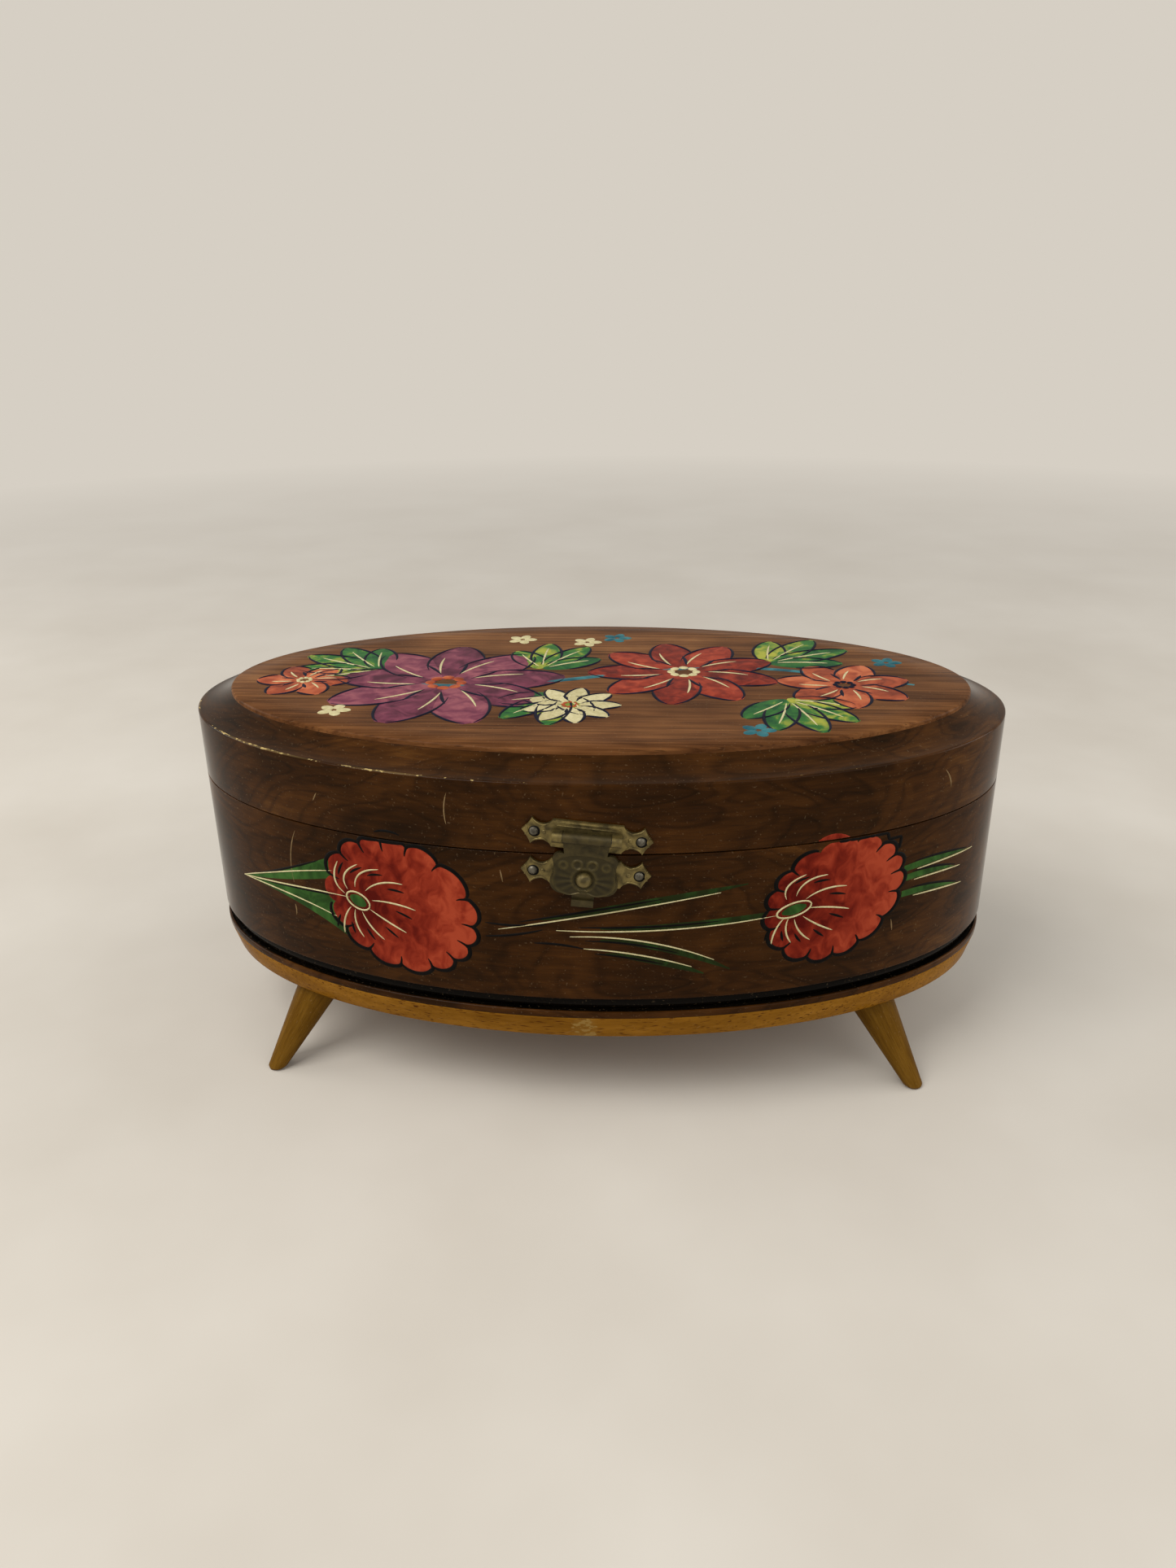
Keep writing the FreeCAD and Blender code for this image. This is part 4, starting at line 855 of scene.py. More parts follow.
def draw_outline(bloom):
    """Black edge: an arc round each lobe that hooks into the notch at its end, none over the gap."""
    fine = np.linspace(-1, FULL_TURN + 2, 2000)
    share = np.array([0.03, 0.12, 0.3, 0.5, 0.7, 0.88, 0.97, 1.01, 0.99])
    inward = np.array([0, 0, 0, 0, 0, 0, 0, 0.08, 0.16])
    for number in range(bloom["ruffles"]):
        angle = np.interp(FULL_TURN / bloom["ruffles"] * (number + share), uneven(fine), fine)
        if not bloom["gap"][0] < math.degrees(angle[0]) % 360 < bloom["gap"][1]:
            draw("black", bloom_edge(bloom, angle, lobed(bloom, angle) + 0.02 - inward), *edge_line)


def draw_teeth(bloom):
    """Black zigzag over a bloom's gap: lines between even angles, in turn at its edge and beyond it."""
    angle = np.radians(np.linspace(*bloom["gap"], 9))
    corners = bloom_edge(bloom, angle, np.where(np.arange(9) % 2, 1.14, 1.02))
    for pair in zip(corners, corners[1:]):
        draw("black", pair, *tooth_line)


def draw_hub(bloom):
    """Green hub in a cream ring, and lines fanned out evenly, each with a black shadow beside it.

    A line's reach grows with the square of its angle's cosine, and its bow with the sine.
    """
    half_long, half_short, tilt = bloom["ring"]
    hub = np.array(bloom["hub"])
    ring = turned(ellipse((half_long, half_short), np.linspace(0, FULL_TURN, 14)), tilt)
    draw("cream", hub + ring, *ring_line)
    across = 0.9 * half_long * direction(tilt)
    draw("green", [hub - across, hub + across], 1.8 * half_short, dark_lift, 0.5, tone=0.6)
    first, last, count = bloom["fan"]
    shadow_turn = 0.4 * (last - first) / (count - 1)
    for angle in np.linspace(first, last, count):
        reach = bloom["reach"] + 4.5 * math.cos(math.radians(angle)) ** 2
        bow = 1 + 2.5 * math.sin(math.radians(angle))
        draw("cream", vein(hub, angle, reach, bow, 0.22), *vein_line, lean=1.3)
        draw("black", vein(hub, angle + shadow_turn, reach, bow, 0.6), *shadow_line)


for bloom in (left_bloom, right_bloom):
    front_paint["red"].append(bloom_surface(bloom))
    draw_outline(bloom)
    draw_hub(bloom)
draw_teeth(right_bloom)
for low, low_bow, high, high_bow in left_leaves:
    edges = bowed(leaf_tip, low, low_bow), bowed(leaf_tip, high, high_bow)
    front_paint["green"].append(patch(on_wall, *edges, under_lift, 0.7))
    draw("black", bowed(leaf_tip, high, high_bow, 0.1, 0.9), *black_line)
for end, bow in left_lines:
    draw("cream", bowed(leaf_tip, end, bow), *cream_line)
for height, length, fall in right_leaves:
    low, high = (right_leaf_start, height - leaf_half), (right_leaf_start, height + leaf_half)
    tip = (right_leaf_start + length, height - fall)
    edges = bowed(low, tip, 0.4), bowed(high, tip, 1.0)
    front_paint["green"].append(patch(on_wall, *edges, under_lift, 0.7))
    draw("cream", bowed(low, tip, 0.4, 0.2, 1.1, -0.3), *cream_line)
    draw("black", bowed(high, tip, 1.0, 0.15, 1.0, 0.3), *black_line)
for begin, end, bow, above in stems:
    draw("cream", bowed(begin, end, bow), *cream_line)
    draw("green", bowed(begin, end, bow, 0.2, 1.12, above), *green_line, tone=0.1)
    draw("black", bowed(begin, end, bow, 0.1, 0.8, 1.4 * above), *black_line)
for line in stem_hairs:
    draw("black", bowed(*line), *black_line)
for line in wall_scratches:
    draw("scratch", bowed(*line), *scratch_line)
for colour, strokes in front_paint.items():
    add_piece("front_paint_" + colour, strokes, paints[colour], "case", crease=60)
lid_marks = {"black": [stroke(on_wall, lid_arc, 0.6, dark_lift)],
             "red": [patch(on_wall, *lid_petal, colour_lift)],
             "scratch": [stroke(on_wall, bowed(*line), *scratch_line) for line in lid_scratches]}
for colour, strokes in lid_marks.items():
    add_piece("lid_front_" + colour, strokes, paints[colour], "lid", crease=60)

# Garland on the lid: flowers of round petals on a waving stem, with leaves beside it
garland = {colour: [] for colour in ("leaf", "rust", "teal", "red", "plum", "cream", "navy")}


def lay(colour, points, *brush, **more):
    """Brush line on the lid's top."""
    garland[colour].append(stroke(on_board, points, *brush, **more))


def petal(colour, start, degrees, reach, width, lift, tone=0.5, covered=0.35):
    """Petal or leaf: a fat stroke with a navy edge, one side of which begins past the petal over it."""
    lay(colour, vein(start, degrees, reach), width, lift, 0.55, 22, tone)
    ahead = direction(degrees)
    for side, begin in ((-1, covered), (1, 0.3 * covered)):
        s = np.linspace(begin, 0.99, 12)[:, None]
        bulge = 0.5 * width * np.sin(math.pi * s) ** 0.55
        lay("navy", start + reach * s * ahead + side * bulge * left_of(ahead), 0.8, light_lift)


def flower(colour, centre, petals, reach, width, turn, heart):
    """Ring of petals, each with a cream line and a dark fold, round a heart of dots."""
    centre = np.array(centre)
    for number, angle in enumerate(turn + 360 / petals * np.arange(petals)):
        tone = 0.35 + 0.3 * (number % 2)
        petal(colour, centre + 0.1 * reach * direction(angle), angle, reach, width, dark_lift, tone, 0.62)
        lay("cream", vein(centre, angle + 10, 0.76 * reach, 0.05 * reach, 0.35), 0.7, light_lift, 0.4, 16)
        lay("navy", vein(centre, angle - 9, 0.66 * reach, -0.05 * reach, 0.3), 1.1, light_lift, 0.9, 16)
    for angle in range(0, 360, 45):
        dot = vein(centre + 0.1 * reach * direction(angle), angle, 0.09 * reach)
        lay(heart, dot, 0.12 * reach, light_lift + 0.08, 0.4, 8)


def spray(start, first, last, count, reach, width):
    """Fan of leaves from one place, each with a cream rib, and lighter from the first to the last."""
    for share in np.linspace(0, 1, count):
        angle = first + (last - first) * share
        length = reach * (0.75 + 0.25 * math.sin(math.pi * share))
        petal("leaf", np.array(start), angle, length, width, colour_lift, 0.25 + 0.5 * share)
        lay("cream", vein(start, angle, 0.8 * length, 0.4, 0.15), 0.6, light_lift)


lay("teal", [(x, 2 + 8 * math.sin(x / 21)) for x in range(-78, 79, 6)], 2.2, colour_lift, 0.3, 90)
spray((-56, 6), 100, 205, 5, 24, 8.5)
spray((-14, 8), 30, 120, 4, 22, 8)
spray((-8, -12), 200, 300, 4, 21, 8)
spray((44, 14), 0, 85, 4, 25, 8.5)
spray((46, -14), 230, 345, 5, 22, 8)
flower("plum", (-37, -4), 9, 27, 14.5, 10, "rust")
flower("red", (22, 6), 9, 22, 11.5, 22, "cream")
flower("rust", (61, -3), 7, 15, 9.5, 15, "navy")
flower("cream", (-5, -19), 9, 11, 5.4, 0, "rust")
flower("rust", (-73, -3), 6, 11, 8.0, 0, "cream")
for x, y in ((-4, 31), (4, 35), (38, -34), (-60, -24), (74, 15), (-22, 33)):
    for angle in range(0, 360, 72):
        bud = vein(np.array([x, y]) + 0.6 * direction(angle), angle, 3.4)
        lay("teal" if x > 0 else "cream", bud, 2.6, dark_lift, 0.5, 10)
for colour, strokes in garland.items():
    add_piece("lid_garland_" + colour, strokes, paints[colour], "lid", crease=60)

# Clasp relief and nails
plate_proud = 0.8
nail_radius = 1.05
dome_radius = 1.0
dome_height = 0.65
dome_skirt = 0.2
rib_lift = 0.22
plate_drop = 8.8
knob_drop = 9.7
knob_radius = 1.75
knob_skin = 0.05
# Shift of the black rings of painted shade round the nail heads, a little down and to the right
shade_shift = np.array([0.15, -0.1])
hasp_front = box_of("clasp_catch")[0][1] + knob_radius
hasp_tilt = math.degrees(math.atan2(clasp_axis[2], -clasp_axis[0]))
plate_ribs = [[(8.2, 2.2), (9.4, 1.6), (11, 2.0), (11.9, 2.8)],
              [(8.2, -2.2), (9.4, -1.6), (11, -2.0), (11.9, -2.8)], [(13.2, 1.2), (12.8, 0), (13.2, -1.2)]]
bar_ribs = [[(-7.0, 2.7), (0, 2.75), (7.0, 2.7)], [(-6.6, 1.9), (0, 1.95), (6.6, 1.9)]]
# Outline of the hasp's stamped face about the knob, as (angle from below, radius), the same on both sides
face_outline = [(0, 3.0), (20, 3.4), (38, 4.8), (50, 5.5), (65, 6.4), (82, 6.9), (100, 6.7), (118, 7.2),
                (128, 7.2), (142, 6.6), (160, 5.9), (180, 5.6)]
# Rings on the face, or dots where the radius is 0, as height, middle, radius and width
face_rings = [(0.35, (0, -knob_drop), 2.6, 0.35), (0.42, (1.6, -6.2), 1.0, 0.3),
              (0.35, (4.6, -6.5), 0.8, 0.3), (0.4, (0.8, -12.3), 0, 0.4)]
face_hole = 2.0
face_thickness = 0.2
face_relief = 0.65
flute_count = 18
hinge_leaf = 0.8


def nail_pair(node):
    """Middles of a plate's two nails, of which the right one is the lower, and the tilt between them."""
    low, high = box_of(node)
    left = np.array([low[0] + nail_radius, high[2] - nail_radius])
    right = np.array([high[0] - nail_radius, low[2] + nail_radius])
    return left, right, math.degrees(math.atan2(left[1] - right[1], right[0] - left[0]))


def clasp_spot(across, up, tilt):
    """Front-view x and height of a place measured along and up from the clasp's pin."""
    along, rise = direction(-tilt), direction(90 - tilt)
    return clasp_pin[0] + across * along[0] + up * rise[0], clasp_pin[2] + across * along[1] + up * rise[1]


def on_plate(tilt):
    """Place on the face of a clasp plate, which lies on the curved wall."""
    def place(across, up, lift):
        return on_wall(*clasp_spot(across, up, tilt), lift + plate_proud)
    return place


def on_hasp(across, up, lift):
    """Place on the flat face of the hasp."""
    x, z = clasp_spot(across, up, hasp_tilt)
    return in_space(x, hasp_front - lift, z)


def nail_dome(x, z, front, proud):
    """Round nail head: a flattened half ball on a short skirt, on the wall's front or back."""
    turn = full_turn(24)
    rise = np.linspace(0, 0.46, 7)[:, None] * math.pi
    reach = np.concatenate([[[1.0]], np.cos(rise)]) * dome_radius
    lift = np.concatenate([[[-dome_skirt]], dome_height * np.sin(rise)]) + proud
    spot = on_wall((x if front else -x) + reach * np.cos(turn), z + reach * np.sin(turn), lift)
    return capped(spot if front else spot * [-1, -1, 1])


def circle_line(middle, radius, count=13):
    """Points of a circle, closed on itself."""
    return np.array(middle) + ellipse((radius, radius), np.linspace(0, FULL_TURN, count))


def ring_bump(across, up, middle, radius, width):
    """Raised ring, or with no radius a raised dot: a bell curve of the distance from a circle."""
    away = np.hypot(np.abs(across) - middle[0], up - middle[1])
    return np.exp(-((away - radius) / width) ** 2)


def hasp_face():
    """Stamped face: rings from the knob's hole to the outline.

    Bell curves raise its rim, collar, curls and beads, and a cosine of the angle its flutes.
    """
    degrees = np.linspace(-180, 180, 144, endpoint=False)
    turn, off_low = np.radians(degrees), np.abs(degrees)
    outline = smooth_line(face_outline, 200)
    share = np.linspace(0, 1, 30)[:, None]
    radius = face_hole + (np.interp(off_low, outline[:, 0], outline[:, 1]) - face_hole) * share
    across, up = radius * np.sin(turn), -knob_drop - radius * np.cos(turn)
    top = np.clip((off_low - 95) / 30, 0, 1)
    relief = 0.3 * (1 - top) * np.exp(-((1 - share) / 0.09) ** 2)
    flutes = np.cos(turn * flute_count) * np.exp(-((off_low - 80) / 30) ** 2)
    relief += 0.22 * flutes * np.sin(math.pi * share)
    for height, *ring in face_rings:
        relief += height * ring_bump(across, up, *ring)
    lift = face_thickness * (1 - 0.9 * top * share ** 2) + face_relief * np.maximum(relief, -0.15)
    front = on_hasp(across, up, np.maximum(lift, 0.03))
    hole, rim = on_hasp(across[[0, -1]], up[[0, -1]], 0.02)
    tone = np.clip(0.25 + 2.2 * relief, 0, 1)
    return looped(np.stack([hole, *front, rim]), tone[[0, *range(len(share)), -1]])


def knob_dome():
    """Domed knob over the catch: rings of a half ball that shrink towards its top."""
    turn = full_turn(28)
    rise = np.linspace(0, 0.48, 10)[:, None] * math.pi
    radius = knob_radius + knob_skin
    reach = radius * np.cos(rise)
    return capped(on_hasp(reach * np.cos(turn), reach * np.sin(turn) - knob_drop, radius * np.sin(rise)))


for body, node, up in (("lid", "clasp_lid_nails", 0.0), ("case", "clasp_body_nails", -plate_drop)):
    left, right, tilt = nail_pair(node)
    heads = [nail_dome(*spot, True, plate_proud) for spot in (left, right)]
    ribs = [np.array(rib) * [side, 1] + [0, up] for rib in plate_ribs for side in (1, -1)]
    ribs += bar_ribs if body == "lid" else []
    relief = [stroke(on_plate(tilt), line, 0.5, rib_lift, 0.5) for line in ribs]
    dots = [circle_line((side * 9.2, up), 0.25, 7) for side in (-1, 1)]
    relief += [stroke(on_plate(tilt), line, 0.6, rib_lift, 0.2, 12) for line in dots]
    # Black rings round the nail heads, shifted a little down and to the right: painted shade in the gaps round the
    # nails
    shade_circles = [circle_line(spot - clasp_pin[[0, 2]] + shade_shift, dome_radius) for spot in (left, right)]
    rings = [stroke(on_plate(0), line, 0.6, 0.12, 0.1, 30) for line in shade_circles]
    add_piece(node + "_domed", heads, dull_steel, body, [node], crease=60)
    add_piece(node.replace("nails", "relief"), relief, aged_brass, body, crease=60)
    add_piece(node.replace("nails", "nail_shade_rings"), rings, paints["black"], body, crease=60)
add_piece("hasp_face", hasp_face(), stamped_brass, "hasp", crease=60)
add_piece("clasp_knob", knob_dome(), aged_brass, "case", crease=60)
hinge_middle = 0.5 * sum(box_of("hinge_pin_right"))[0]
for body, node in (("lid", "hinge_lid_nails"), ("case", "hinge_body_nails")):
    low, high = box_of(node)
    outer = high[0] - nail_radius
    row = [side * x for side in (-1, 1) for x in (outer, 2 * hinge_middle - outer)]
    heads = [nail_dome(x, 0.5 * (low[2] + high[2]), False, hinge_leaf) for x in row]
    add_piece(node + "_domed", heads, dull_steel, body, [node], crease=60)


# Linings
cloth_gap = 0.05
cloth_thickness = 1.1
# Tray wall as (inset, height): the first from the tray's foot, the others from its top
tray_wall = [(0.05, 0.0), (0.05, -0.8), (0.2, -0.3), (0.6, 0.0), (1.05, -0.25), (1.25, -0.9), (1.3, -6.0)]
# Tray floor as (inset, height from the foot), up to the pad's edge
tray_floor = [(1.35, 5), (1.8, 2.8), (3.2, 1.8)]
pad_rise = 0.9
bush_overlap = 0.6
fold_count = 76
fold_depth = 0.28
# Mirror from the middle of its face to its back, as shares of its half axes and of its thickness
mirror_rows = [(0.06, 0.0), (0.5, 0.0), (0.93, 0.0), (0.99, 0.5), (1.0, 0.6), (1.0, 1.0), (0.06, 1.0)]
eyelet_radius = 2.1
eyelet_half = (0.55, 0.45)
eyelet_height = 0.25


def evenly(loop, count, soften):
    """Points spaced evenly along a closed line, then averaged with neighbours to round its corners."""
    closed = np.concatenate([loop, loop[:1]])
    length = np.concatenate([[0.0], np.linalg.norm(np.diff(closed, axis=0), axis=1).cumsum()])
    at = np.arange(count) / count * length[-1]
    even = np.stack([np.interp(at, length, closed[:, axis]) for axis in (0, 1)], -1)
    return sum(np.roll(even, shift, axis=0) for shift in range(-soften, soften + 1)) / (2 * soften + 1)


def inner_arc(first, last, inset, count=200):
    """Points of the oval's inside between two angles."""
    return ellipse((half_length - inset, half_depth - inset), np.linspace(first, last, count))


def straight(start, end, count=60):
    """Points of a straight line, without its ends."""
    return start + (end - start) * np.linspace(0, 1, count + 2)[1:-1, None]


def drawn_in(outline, inset):
    """A closed line moved inwards along its normals."""
    return outline + inset * left_of(unit(np.roll(outline, -1, axis=0) - np.roll(outline, 1, axis=0)))


def tray_grid(node):
    """Lined tray: up the outside of a D, over a rolled edge, down inside, and over a padded floor."""
    low, high = box_of(node)
    outer, inner = max(-low[0], high[0]), min(abs(low[0]), abs(high[0]))
    angle = math.acos(inner / outer)
    arc = inner_arc(-angle, angle, half_length - outer)
    outline = evenly(np.concatenate([arc, straight(arc[-1], arc[0])]), 240, 2)
    if high[0] < 0:
        outline = outline[::-1] * [-1, 1]
    walls = [at_height(drawn_in(outline, inset), (high[2] if number else low[2]) + height)
             for number, (inset, height) in enumerate(tray_wall)]
    floor = [at_height(drawn_in(outline, inset), low[2] + height) for inset, height in tray_floor]
    pad_inset, pad_height = tray_floor[-1]
    middle = outline.mean(axis=0)
    from_middle = drawn_in(outline, pad_inset) - middle
    pad = [at_height(middle + from_middle * share, low[2] + pad_height + pad_rise * (1 - share ** 2))
           for share in (0.85, 0.6, 0.35, 0.12)]
    return np.stack(walls + floor + pad)


def stage_grid():
    """Stage cover: from a round hole out to two straight sides and two arcs, over its edge and back."""
    low, high = box_of("stage_cover")
    inset = half_depth - high[1]
    angle = math.acos(high[0] / (half_length - inset))
    back = inner_arc(angle, math.pi - angle, inset)
    front = inner_arc(math.pi + angle, FULL_TURN - angle, inset)
    outline = np.concatenate([back, straight(back[-1], front[0]), front, straight(front[-1], back[0])])
    outline = evenly(outline, 260, 1)
    hole = (box_of("stage_bush")[1][0] - bush_overlap) * unit(outline)
    edge = [at_height(drawn_in(outline, move), z)
            for move, z in ((0.1, low[2]), (0.1, high[2] - 0.3), (0.3, high[2]))]
    return np.stack([at_height(hole, low[2]), *edge, at_height(hole, high[2])])


def lining_grid():
    """Ruched satin: a ring between mirror and rim, puffed downwards and gathered in radial folds.

    The puff is the root of a sine from edge to edge, and the folds are a sine of the angle.
    """
    turn = full_turn(480)
    share = np.linspace(0, 1, 12)[:, None]
    outer, inner = lining_high[:2] - 0.1, mirror_high[:2] + 0.3
    x = (inner[0] + (outer[0] - inner[0]) * share) * np.cos(turn)
    y = (inner[1] + (outer[1] - inner[1]) * share) * np.sin(turn)
    folds = 0.5 + 0.5 * np.sin(fold_count * turn + 2.5 * np.sin(5 * turn) + 1.2 * share)
    puff = np.sin(math.pi * np.clip(share, 0.06, 0.94)) ** 0.5 * (1 - fold_depth + fold_depth * folds)
    under = in_space(x, y, lining_high[2] - (lining_high[2] - lining_low[2]) * puff)
    return np.concatenate([under, in_space(x[[-1, 0]], y[[-1, 0]], lining_high[2])])


def mirror_grid():
    """Bevelled oval mirror: rings that grow on its face, step up a bevel and shrink on its back."""
    thickness = mirror_high[2] - mirror_low[2]
    profile = np.array(mirror_rows) * [1, thickness] + [0, mirror_low[2]]
    return lathe(profile, 160, mirror_high[:2])


for side in ("left", "right"):
    node = "tray_liner_" + side
    add_piece("velvet_" + node, capped(tray_grid(node)), velvet, "case", [node])
cloth_outer, cloth_inner = wall + cloth_gap, wall + cloth_gap + cloth_thickness
ring_outline = rounded([(cloth_outer, liner_low[2]), (cloth_outer, liner_high[2]),
                        (cloth_inner, liner_high[2]), (cloth_inner, liner_low[2])], [0.1, 0.4, 0.5, 0.1])
add_piece("velvet_wall", looped(carried_round(ring_outline, oval)), velvet, "case", ["wall_liner"])
add_piece("velvet_stage", looped(stage_grid()), velvet, "case", ["stage_cover"])
eyelet_place = (*(0.5 * sum(box_of("stop_rod")))[:2], box_of("stage_cover")[1][2])
eyelet = ellipse(eyelet_half, full_turn(12)) + [eyelet_radius, eyelet_height]
add_piece("stop_eyelet", looped(lathe(eyelet, centre=eyelet_place)), bright_brass, "case")
lining = add_piece("satin_lining", looped(lining_grid()), satin, "lid", ["lid_lining"], crease=80)
add_piece("bevelled_mirror", capped(mirror_grid()), mirror_glass, "lid", ["lid_mirror"], crease=8)

# Dancer, built upright about the turning axis with its face towards -x, then laid down along it
dancer_side = np.array([0.0, 1.0, 0.0])
dancer_axes = np.stack([np.cross(dancer_side, dancer_axis), dancer_side, dancer_axis])
toe, waist, shoulder, head_middle, head_radius = 8.0, 24.5, 30.6, 36.2, 2.8
tutu_radius = 12.2
tutu_layers = 3
tutu_step = 0.5
tutu_waves = 22
net_half = 0.05
waist_radius = 1.75
trunk = [(1.5, 20.6), (2.2, 22.4), (waist_radius - 0.1, waist), (2.1, 28.4), (1.9, 30.2), (0.85, 31.4),
         (0.72, 33.6)]
bodice_profile = [(2.3, 22.0), (waist_radius + 0.08, waist), (2.24, 28.3), (2.0, 29.6)]
# Limbs of one side as points and radii; the other side's are their mirror image.
leg_line = [(0, 0.42, toe + 1.0), (0, 0.5, 12.5), (0.1, 0.7, 16), (0, 1.05, 22)]
leg_radii = [0.5, 0.85, 0.8, 1.25]
arm_line = [(0, 1.7, shoulder - 0.5), (-0.2, 4.4, 33), (-0.4, 5.8, 36.8), (-0.6, 4.2, 40.6),
            (-0.8, 1.2, 42.8)]
arm_radii = [0.8, 0.68, 0.56, 0.5, 0.42]
shoe_line = [(0, 0.42, toe - 0.3), (0, 0.42, toe + 1.6)]
shoe_radii = [0.42, 0.62]


def lying(points):
    """Points of the upright dancer carried to its place on the bent spring."""
    return fold_point + points @ dancer_axes


def limb(line, radii, side):
    """Tapered limb of one side along a smooth line, with closed ends."""
    line = smooth_line(np.array(line) * [1, side, 1], 24)
    radius = np.interp(np.linspace(0, 1, 24), np.linspace(0, 1, len(radii)), radii)
    return capped(lying(tube(line, radius)), 0.5)


def turned_part(profile, squash):
    """Body part turned from a smooth profile of (radius, height), with closed ends."""
    return capped(lying(lathe(smooth_line(profile, 30), squash=squash)), 0.5)


def blob(centre, half_axes):
    """Ellipsoid at a place given from the head's middle."""
    return capped(lying(ball(np.add(centre, (0, 0, head_middle)), half_axes)), 0.5)


def tutu_layer(number):
    """Gathered net: a thin ring that droops by a power of its radius, with a sine that grows to its hem."""
    turn = full_turn(220)
    share = np.linspace(0, 1, 16)[:, None]
    radius = waist_radius + (tutu_radius - tutu_step * number - waist_radius) * share
    wave = np.sin((tutu_waves - 3 * number) * turn + 1.7 * number + 0.6 * np.sin(3 * turn))
    wave = wave * (0.15 + 0.55 * share ** 2)
    height = waist - 0.5 - 0.35 * number - (0.5 + 0.7 * number) * share ** 1.5 + wave * share
    sheet = in_space(radius * np.cos(turn), radius * np.sin(turn), height)
    return lying(np.concatenate([sheet - [0, 0, net_half], sheet[::-1] + [0, 0, net_half]]))


skin_parts = [turned_part(trunk, (0.78, 1.0)),
              blob((0, 0, 0), (0.92 * head_radius, 0.86 * head_radius, head_radius)),
              blob((-0.94 * head_radius, 0, -0.2), (0.35, 0.28, 0.4))]
for side in (-1, 1):
    skin_parts += [limb(leg_line, leg_radii, side), limb(arm_line, arm_radii, side)]
bodice_parts = [turned_part(bodice_profile, (0.82, 1.04))]
bodice_parts += [limb(shoe_line, shoe_radii, side) for side in (-1, 1)]
hair_parts = [blob((0.55, 0, 0.35), (0.9 * head_radius, 0.93 * head_radius, 0.98 * head_radius)),
              blob((0.9, 0, 2.7), (1.15, 1.15, 1.0))]
eyes = [blob((-0.85 * head_radius, side * 0.95, 0.3), (0.22, 0.34, 0.16)) for side in (-1, 1)]
lips = blob((-0.86 * head_radius, 0, -1.05), (0.2, 0.4, 0.14))
add_piece("dancer_skin", skin_parts, skin, "dancer", ["dancer_figure"], crease=60)
for name, parts, finish in (("bodice", bodice_parts, bodice_paint), ("hair", hair_parts, hair),
                            ("eyes", eyes, face_paint), ("lips", lips, lip_paint)):
    add_piece("dancer_" + name, parts, finish, "dancer", crease=60)
for number in range(tutu_layers):
    stands_for = ["dancer_tutu"] if number == 0 else []
    layer = looped(tutu_layer(number))
    net = add_piece(f"dancer_tutu_{number}", layer, tulle, "dancer", stands_for, crease=80)

# Coil spring under the dancer, which bends as it is laid down
coil_turns = 9
coil_radius = 1.5
wire_radius = 0.26
toe_seat = 0.4
bend_angle = math.atan2(dancer_axis[0], dancer_axis[2])
bend_start = fold_point - [0, 0, 2.4]
bend_end = fold_point + 3.0 * dancer_axis


def laid_over(points):
    """Points of the standing coil turned about the fold, by a share of the bend that is found in steps."""
    x, y, z = np.moveaxis(points - fold_point, -1, 0)
    way = bend_end - bend_start
    lying_place = points
    for _ in range(60):
        share = np.clip((lying_place - bend_start) @ way / (way @ way), 0, 1)
        angle = bend_angle * share * share * (3 - 2 * share)
        cosine, sine = np.cos(angle), np.sin(angle)
        bent = fold_point + in_space(x * cosine + z * sine, y, z * cosine - x * sine)
        lying_place = 0.5 * (lying_place + bent)
    return lying_place


def coil_grid():
    """Coil spring: a helix from the spindle's seat to the toes, laid over at the bend."""
    seat = box_of("dancer_spindle")[1][2]
    share = np.linspace(0, 1, 480)
    angle = FULL_TURN * coil_turns * share
    height = seat + (fold_point[2] + toe - toe_seat - seat) * share
    line = at_height(fold_point[:2] + ellipse((coil_radius, coil_radius), angle), height)
    return laid_over(coiled_tube(line, wire_radius))


coil = add_piece("dancer_coil", capped(coil_grid()), steel, crease=60)
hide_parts("dancer_spring")
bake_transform(coil)

# Camera as fitted to the photo
camera_turn = 3.8
camera_roll = 0.72
camera_place = (16.3, -278.8, 186.3)
forward = unit(np.array([-0.0606, 0.9122, -0.4051]))


def placed(name, data, place, axes):
    """Object for a camera or a lamp, at a place in millimetres, its axes given in space."""
    matrix = np.eye(4)
    matrix[:3, :3] = np.stack(axes, 1)
    matrix[:3, 3] = np.array(place) * MM
    made = bpy.data.objects.new(name, data)
    made.matrix_world = Matrix(matrix.tolist())
    bpy.context.collection.objects.link(made)
    return made


sideways = np.array([*direction(camera_turn), 0.0])
upward = np.cross(sideways, forward)
cosine, sine = direction(camera_roll)
camera_data = bpy.data.cameras.new("camera")
camera_data.lens = 27.03
camera_data.sensor_width = 36.0
camera_data.sensor_fit = "AUTO"
camera_data.clip_start = 0.01
scene = bpy.context.scene
scene.camera = placed("camera", camera_data, camera_place,
                      (sideways * cosine - upward * sine, sideways * sine + upward * cosine, -forward))
scene.view_settings.view_transform = "Standard"

# Floor and light
backdrop_colour = linear(214, 207, 196)
floor_radius = 3000.0
floor_fade = (350, 1000)
room_colour = (1.0, 0.98, 0.95)
room_strength = 0.45
warm_white = (1.0, 0.97, 0.93)


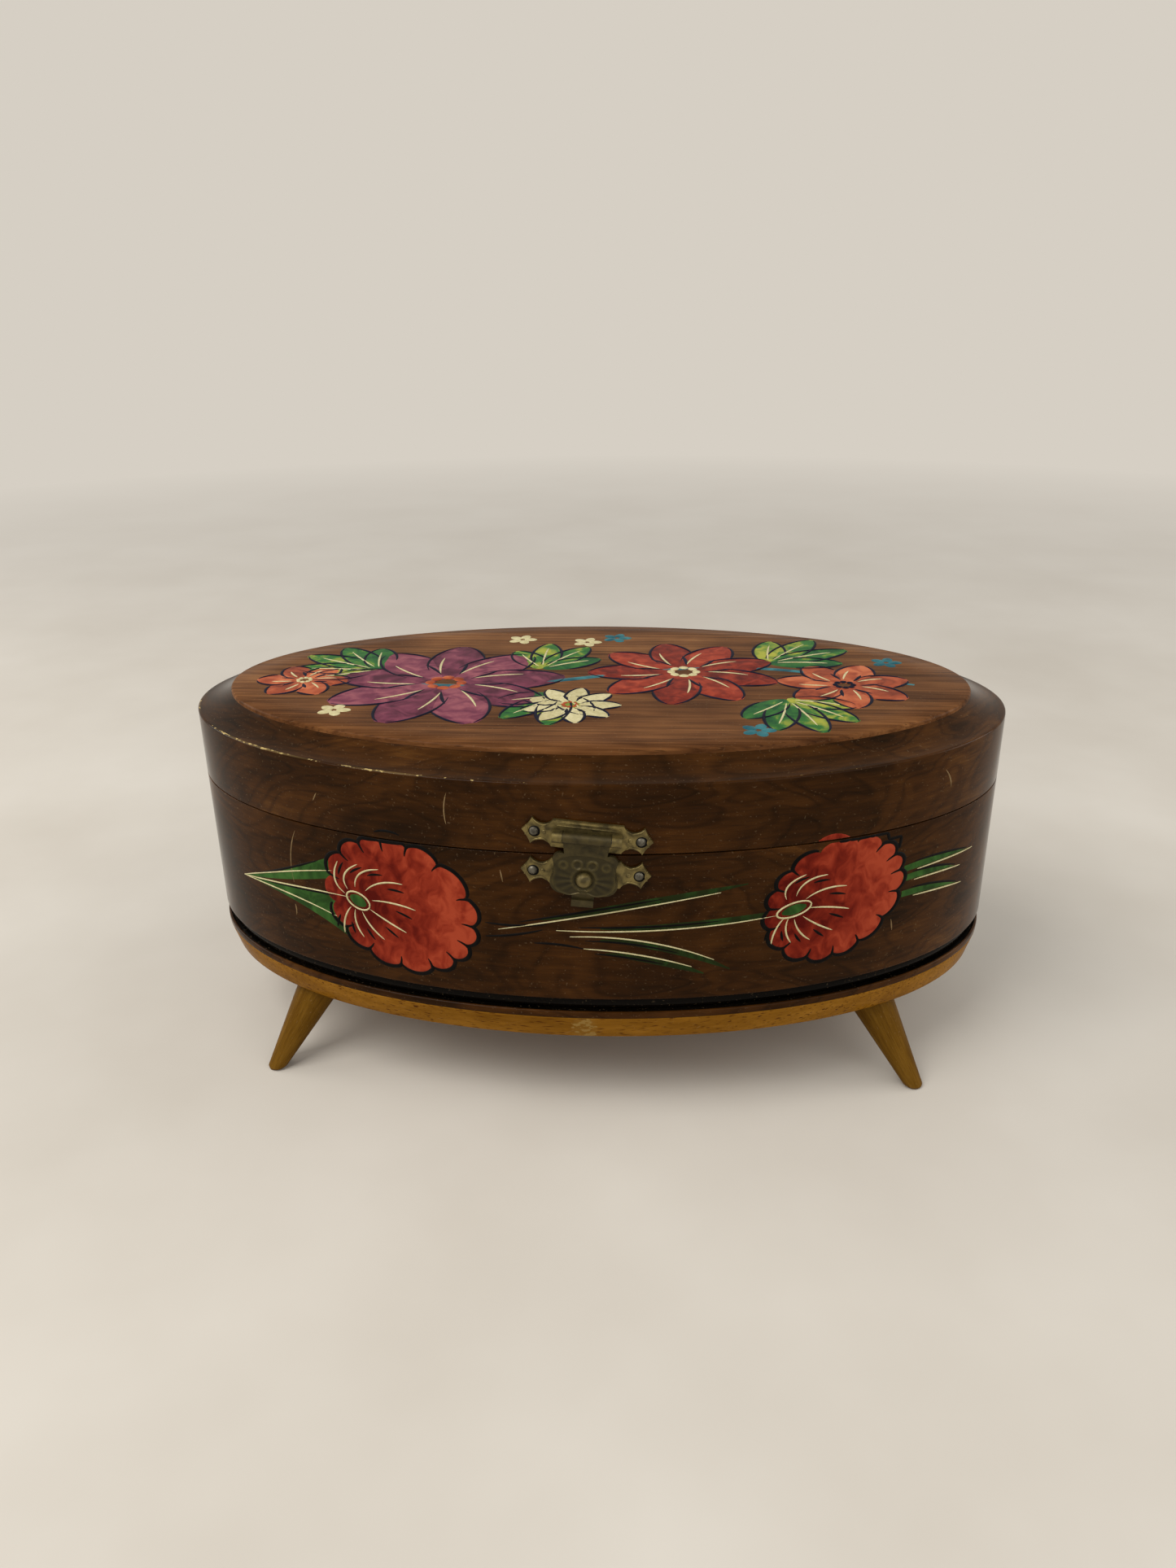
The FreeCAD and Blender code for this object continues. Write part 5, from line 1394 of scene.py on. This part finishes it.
def seen_rays(tree):
    """One for rays that show the background: from the camera, off a gloss, or through glass."""
    path = put(tree, "ShaderNodeLightPath").outputs
    shiny = math_node(tree, "MAXIMUM", path["Is Glossy Ray"], path["Is Transmission Ray"])
    return math_node(tree, "MAXIMUM", path["Is Camera Ray"], shiny)


def area_light(name, place, aim, size, power, colour):
    """Square soft light, placed and aimed in millimetres."""
    data = bpy.data.lights.new(name, "AREA")
    data.size = size * MM
    data.energy = power
    data.color = colour
    back = unit(np.array(place, float) - np.array(aim, float))
    side = unit(np.cross([0, 0, 1], back))
    placed(name, data, place, (side, np.cross(back, side), back))


floor_paint, floor_tree, floor_shader = new_material("floor", Roughness=0.9, Specular_IOR_Level=0.0)
place = millimetres(floor_tree)
mottle = noise(floor_tree, place, scale=0.012, detail=4.0)
feed(floor_shader, Base_Color=ramp(floor_tree, mottle, (0.3, (196, 190, 180)), (0.7, (206, 201, 192))))
far = put(floor_tree, "ShaderNodeVectorMath", {0: place}, operation="LENGTH").outputs["Value"]
far = math_node(floor_tree, "MULTIPLY", ranged(floor_tree, far, *floor_fade), seen_rays(floor_tree))
glow = put(floor_tree, "ShaderNodeEmission", {"Color": backdrop_colour}).outputs[0]
shown = put(floor_tree, "ShaderNodeMixShader", {0: far, 1: floor_shader.outputs[0], 2: glow})
feed(floor_tree.nodes["Material Output"], Surface=shown.outputs[0])
floor_disc = lathe([(floor_radius, 0.0), (50.0, 0.0)], 96)
add_piece("floor", surface(floor_disc, closed=(-1,)), floor_paint)

area_light("key", (-500, -450, 900), (0, 0, 60), 700, 8.0, warm_white)
area_light("fill", (700, -600, 600), (0, 0, 50), 900, 3.0, room_colour)
area_light("left", (-850, 100, 350), (-60, 0, 60), 500, 2.6, warm_white)
area_light("right", (850, 100, 350), (60, 0, 60), 500, 2.3, warm_white)
scene.world = bpy.data.worlds.new("room")
scene.world.use_nodes = True
room = scene.world.node_tree
lit = room.nodes["Background"]
lit.inputs["Color"].default_value = (*room_colour, 1.0)
lit.inputs["Strength"].default_value = room_strength
seen = put(room, "ShaderNodeBackground", {"Color": backdrop_colour})
both = put(room, "ShaderNodeMixShader", {0: seen_rays(room), 1: lit.outputs[0], 2: seen.outputs[0]})
feed(room.nodes["World Output"], Surface=both.outputs[0])
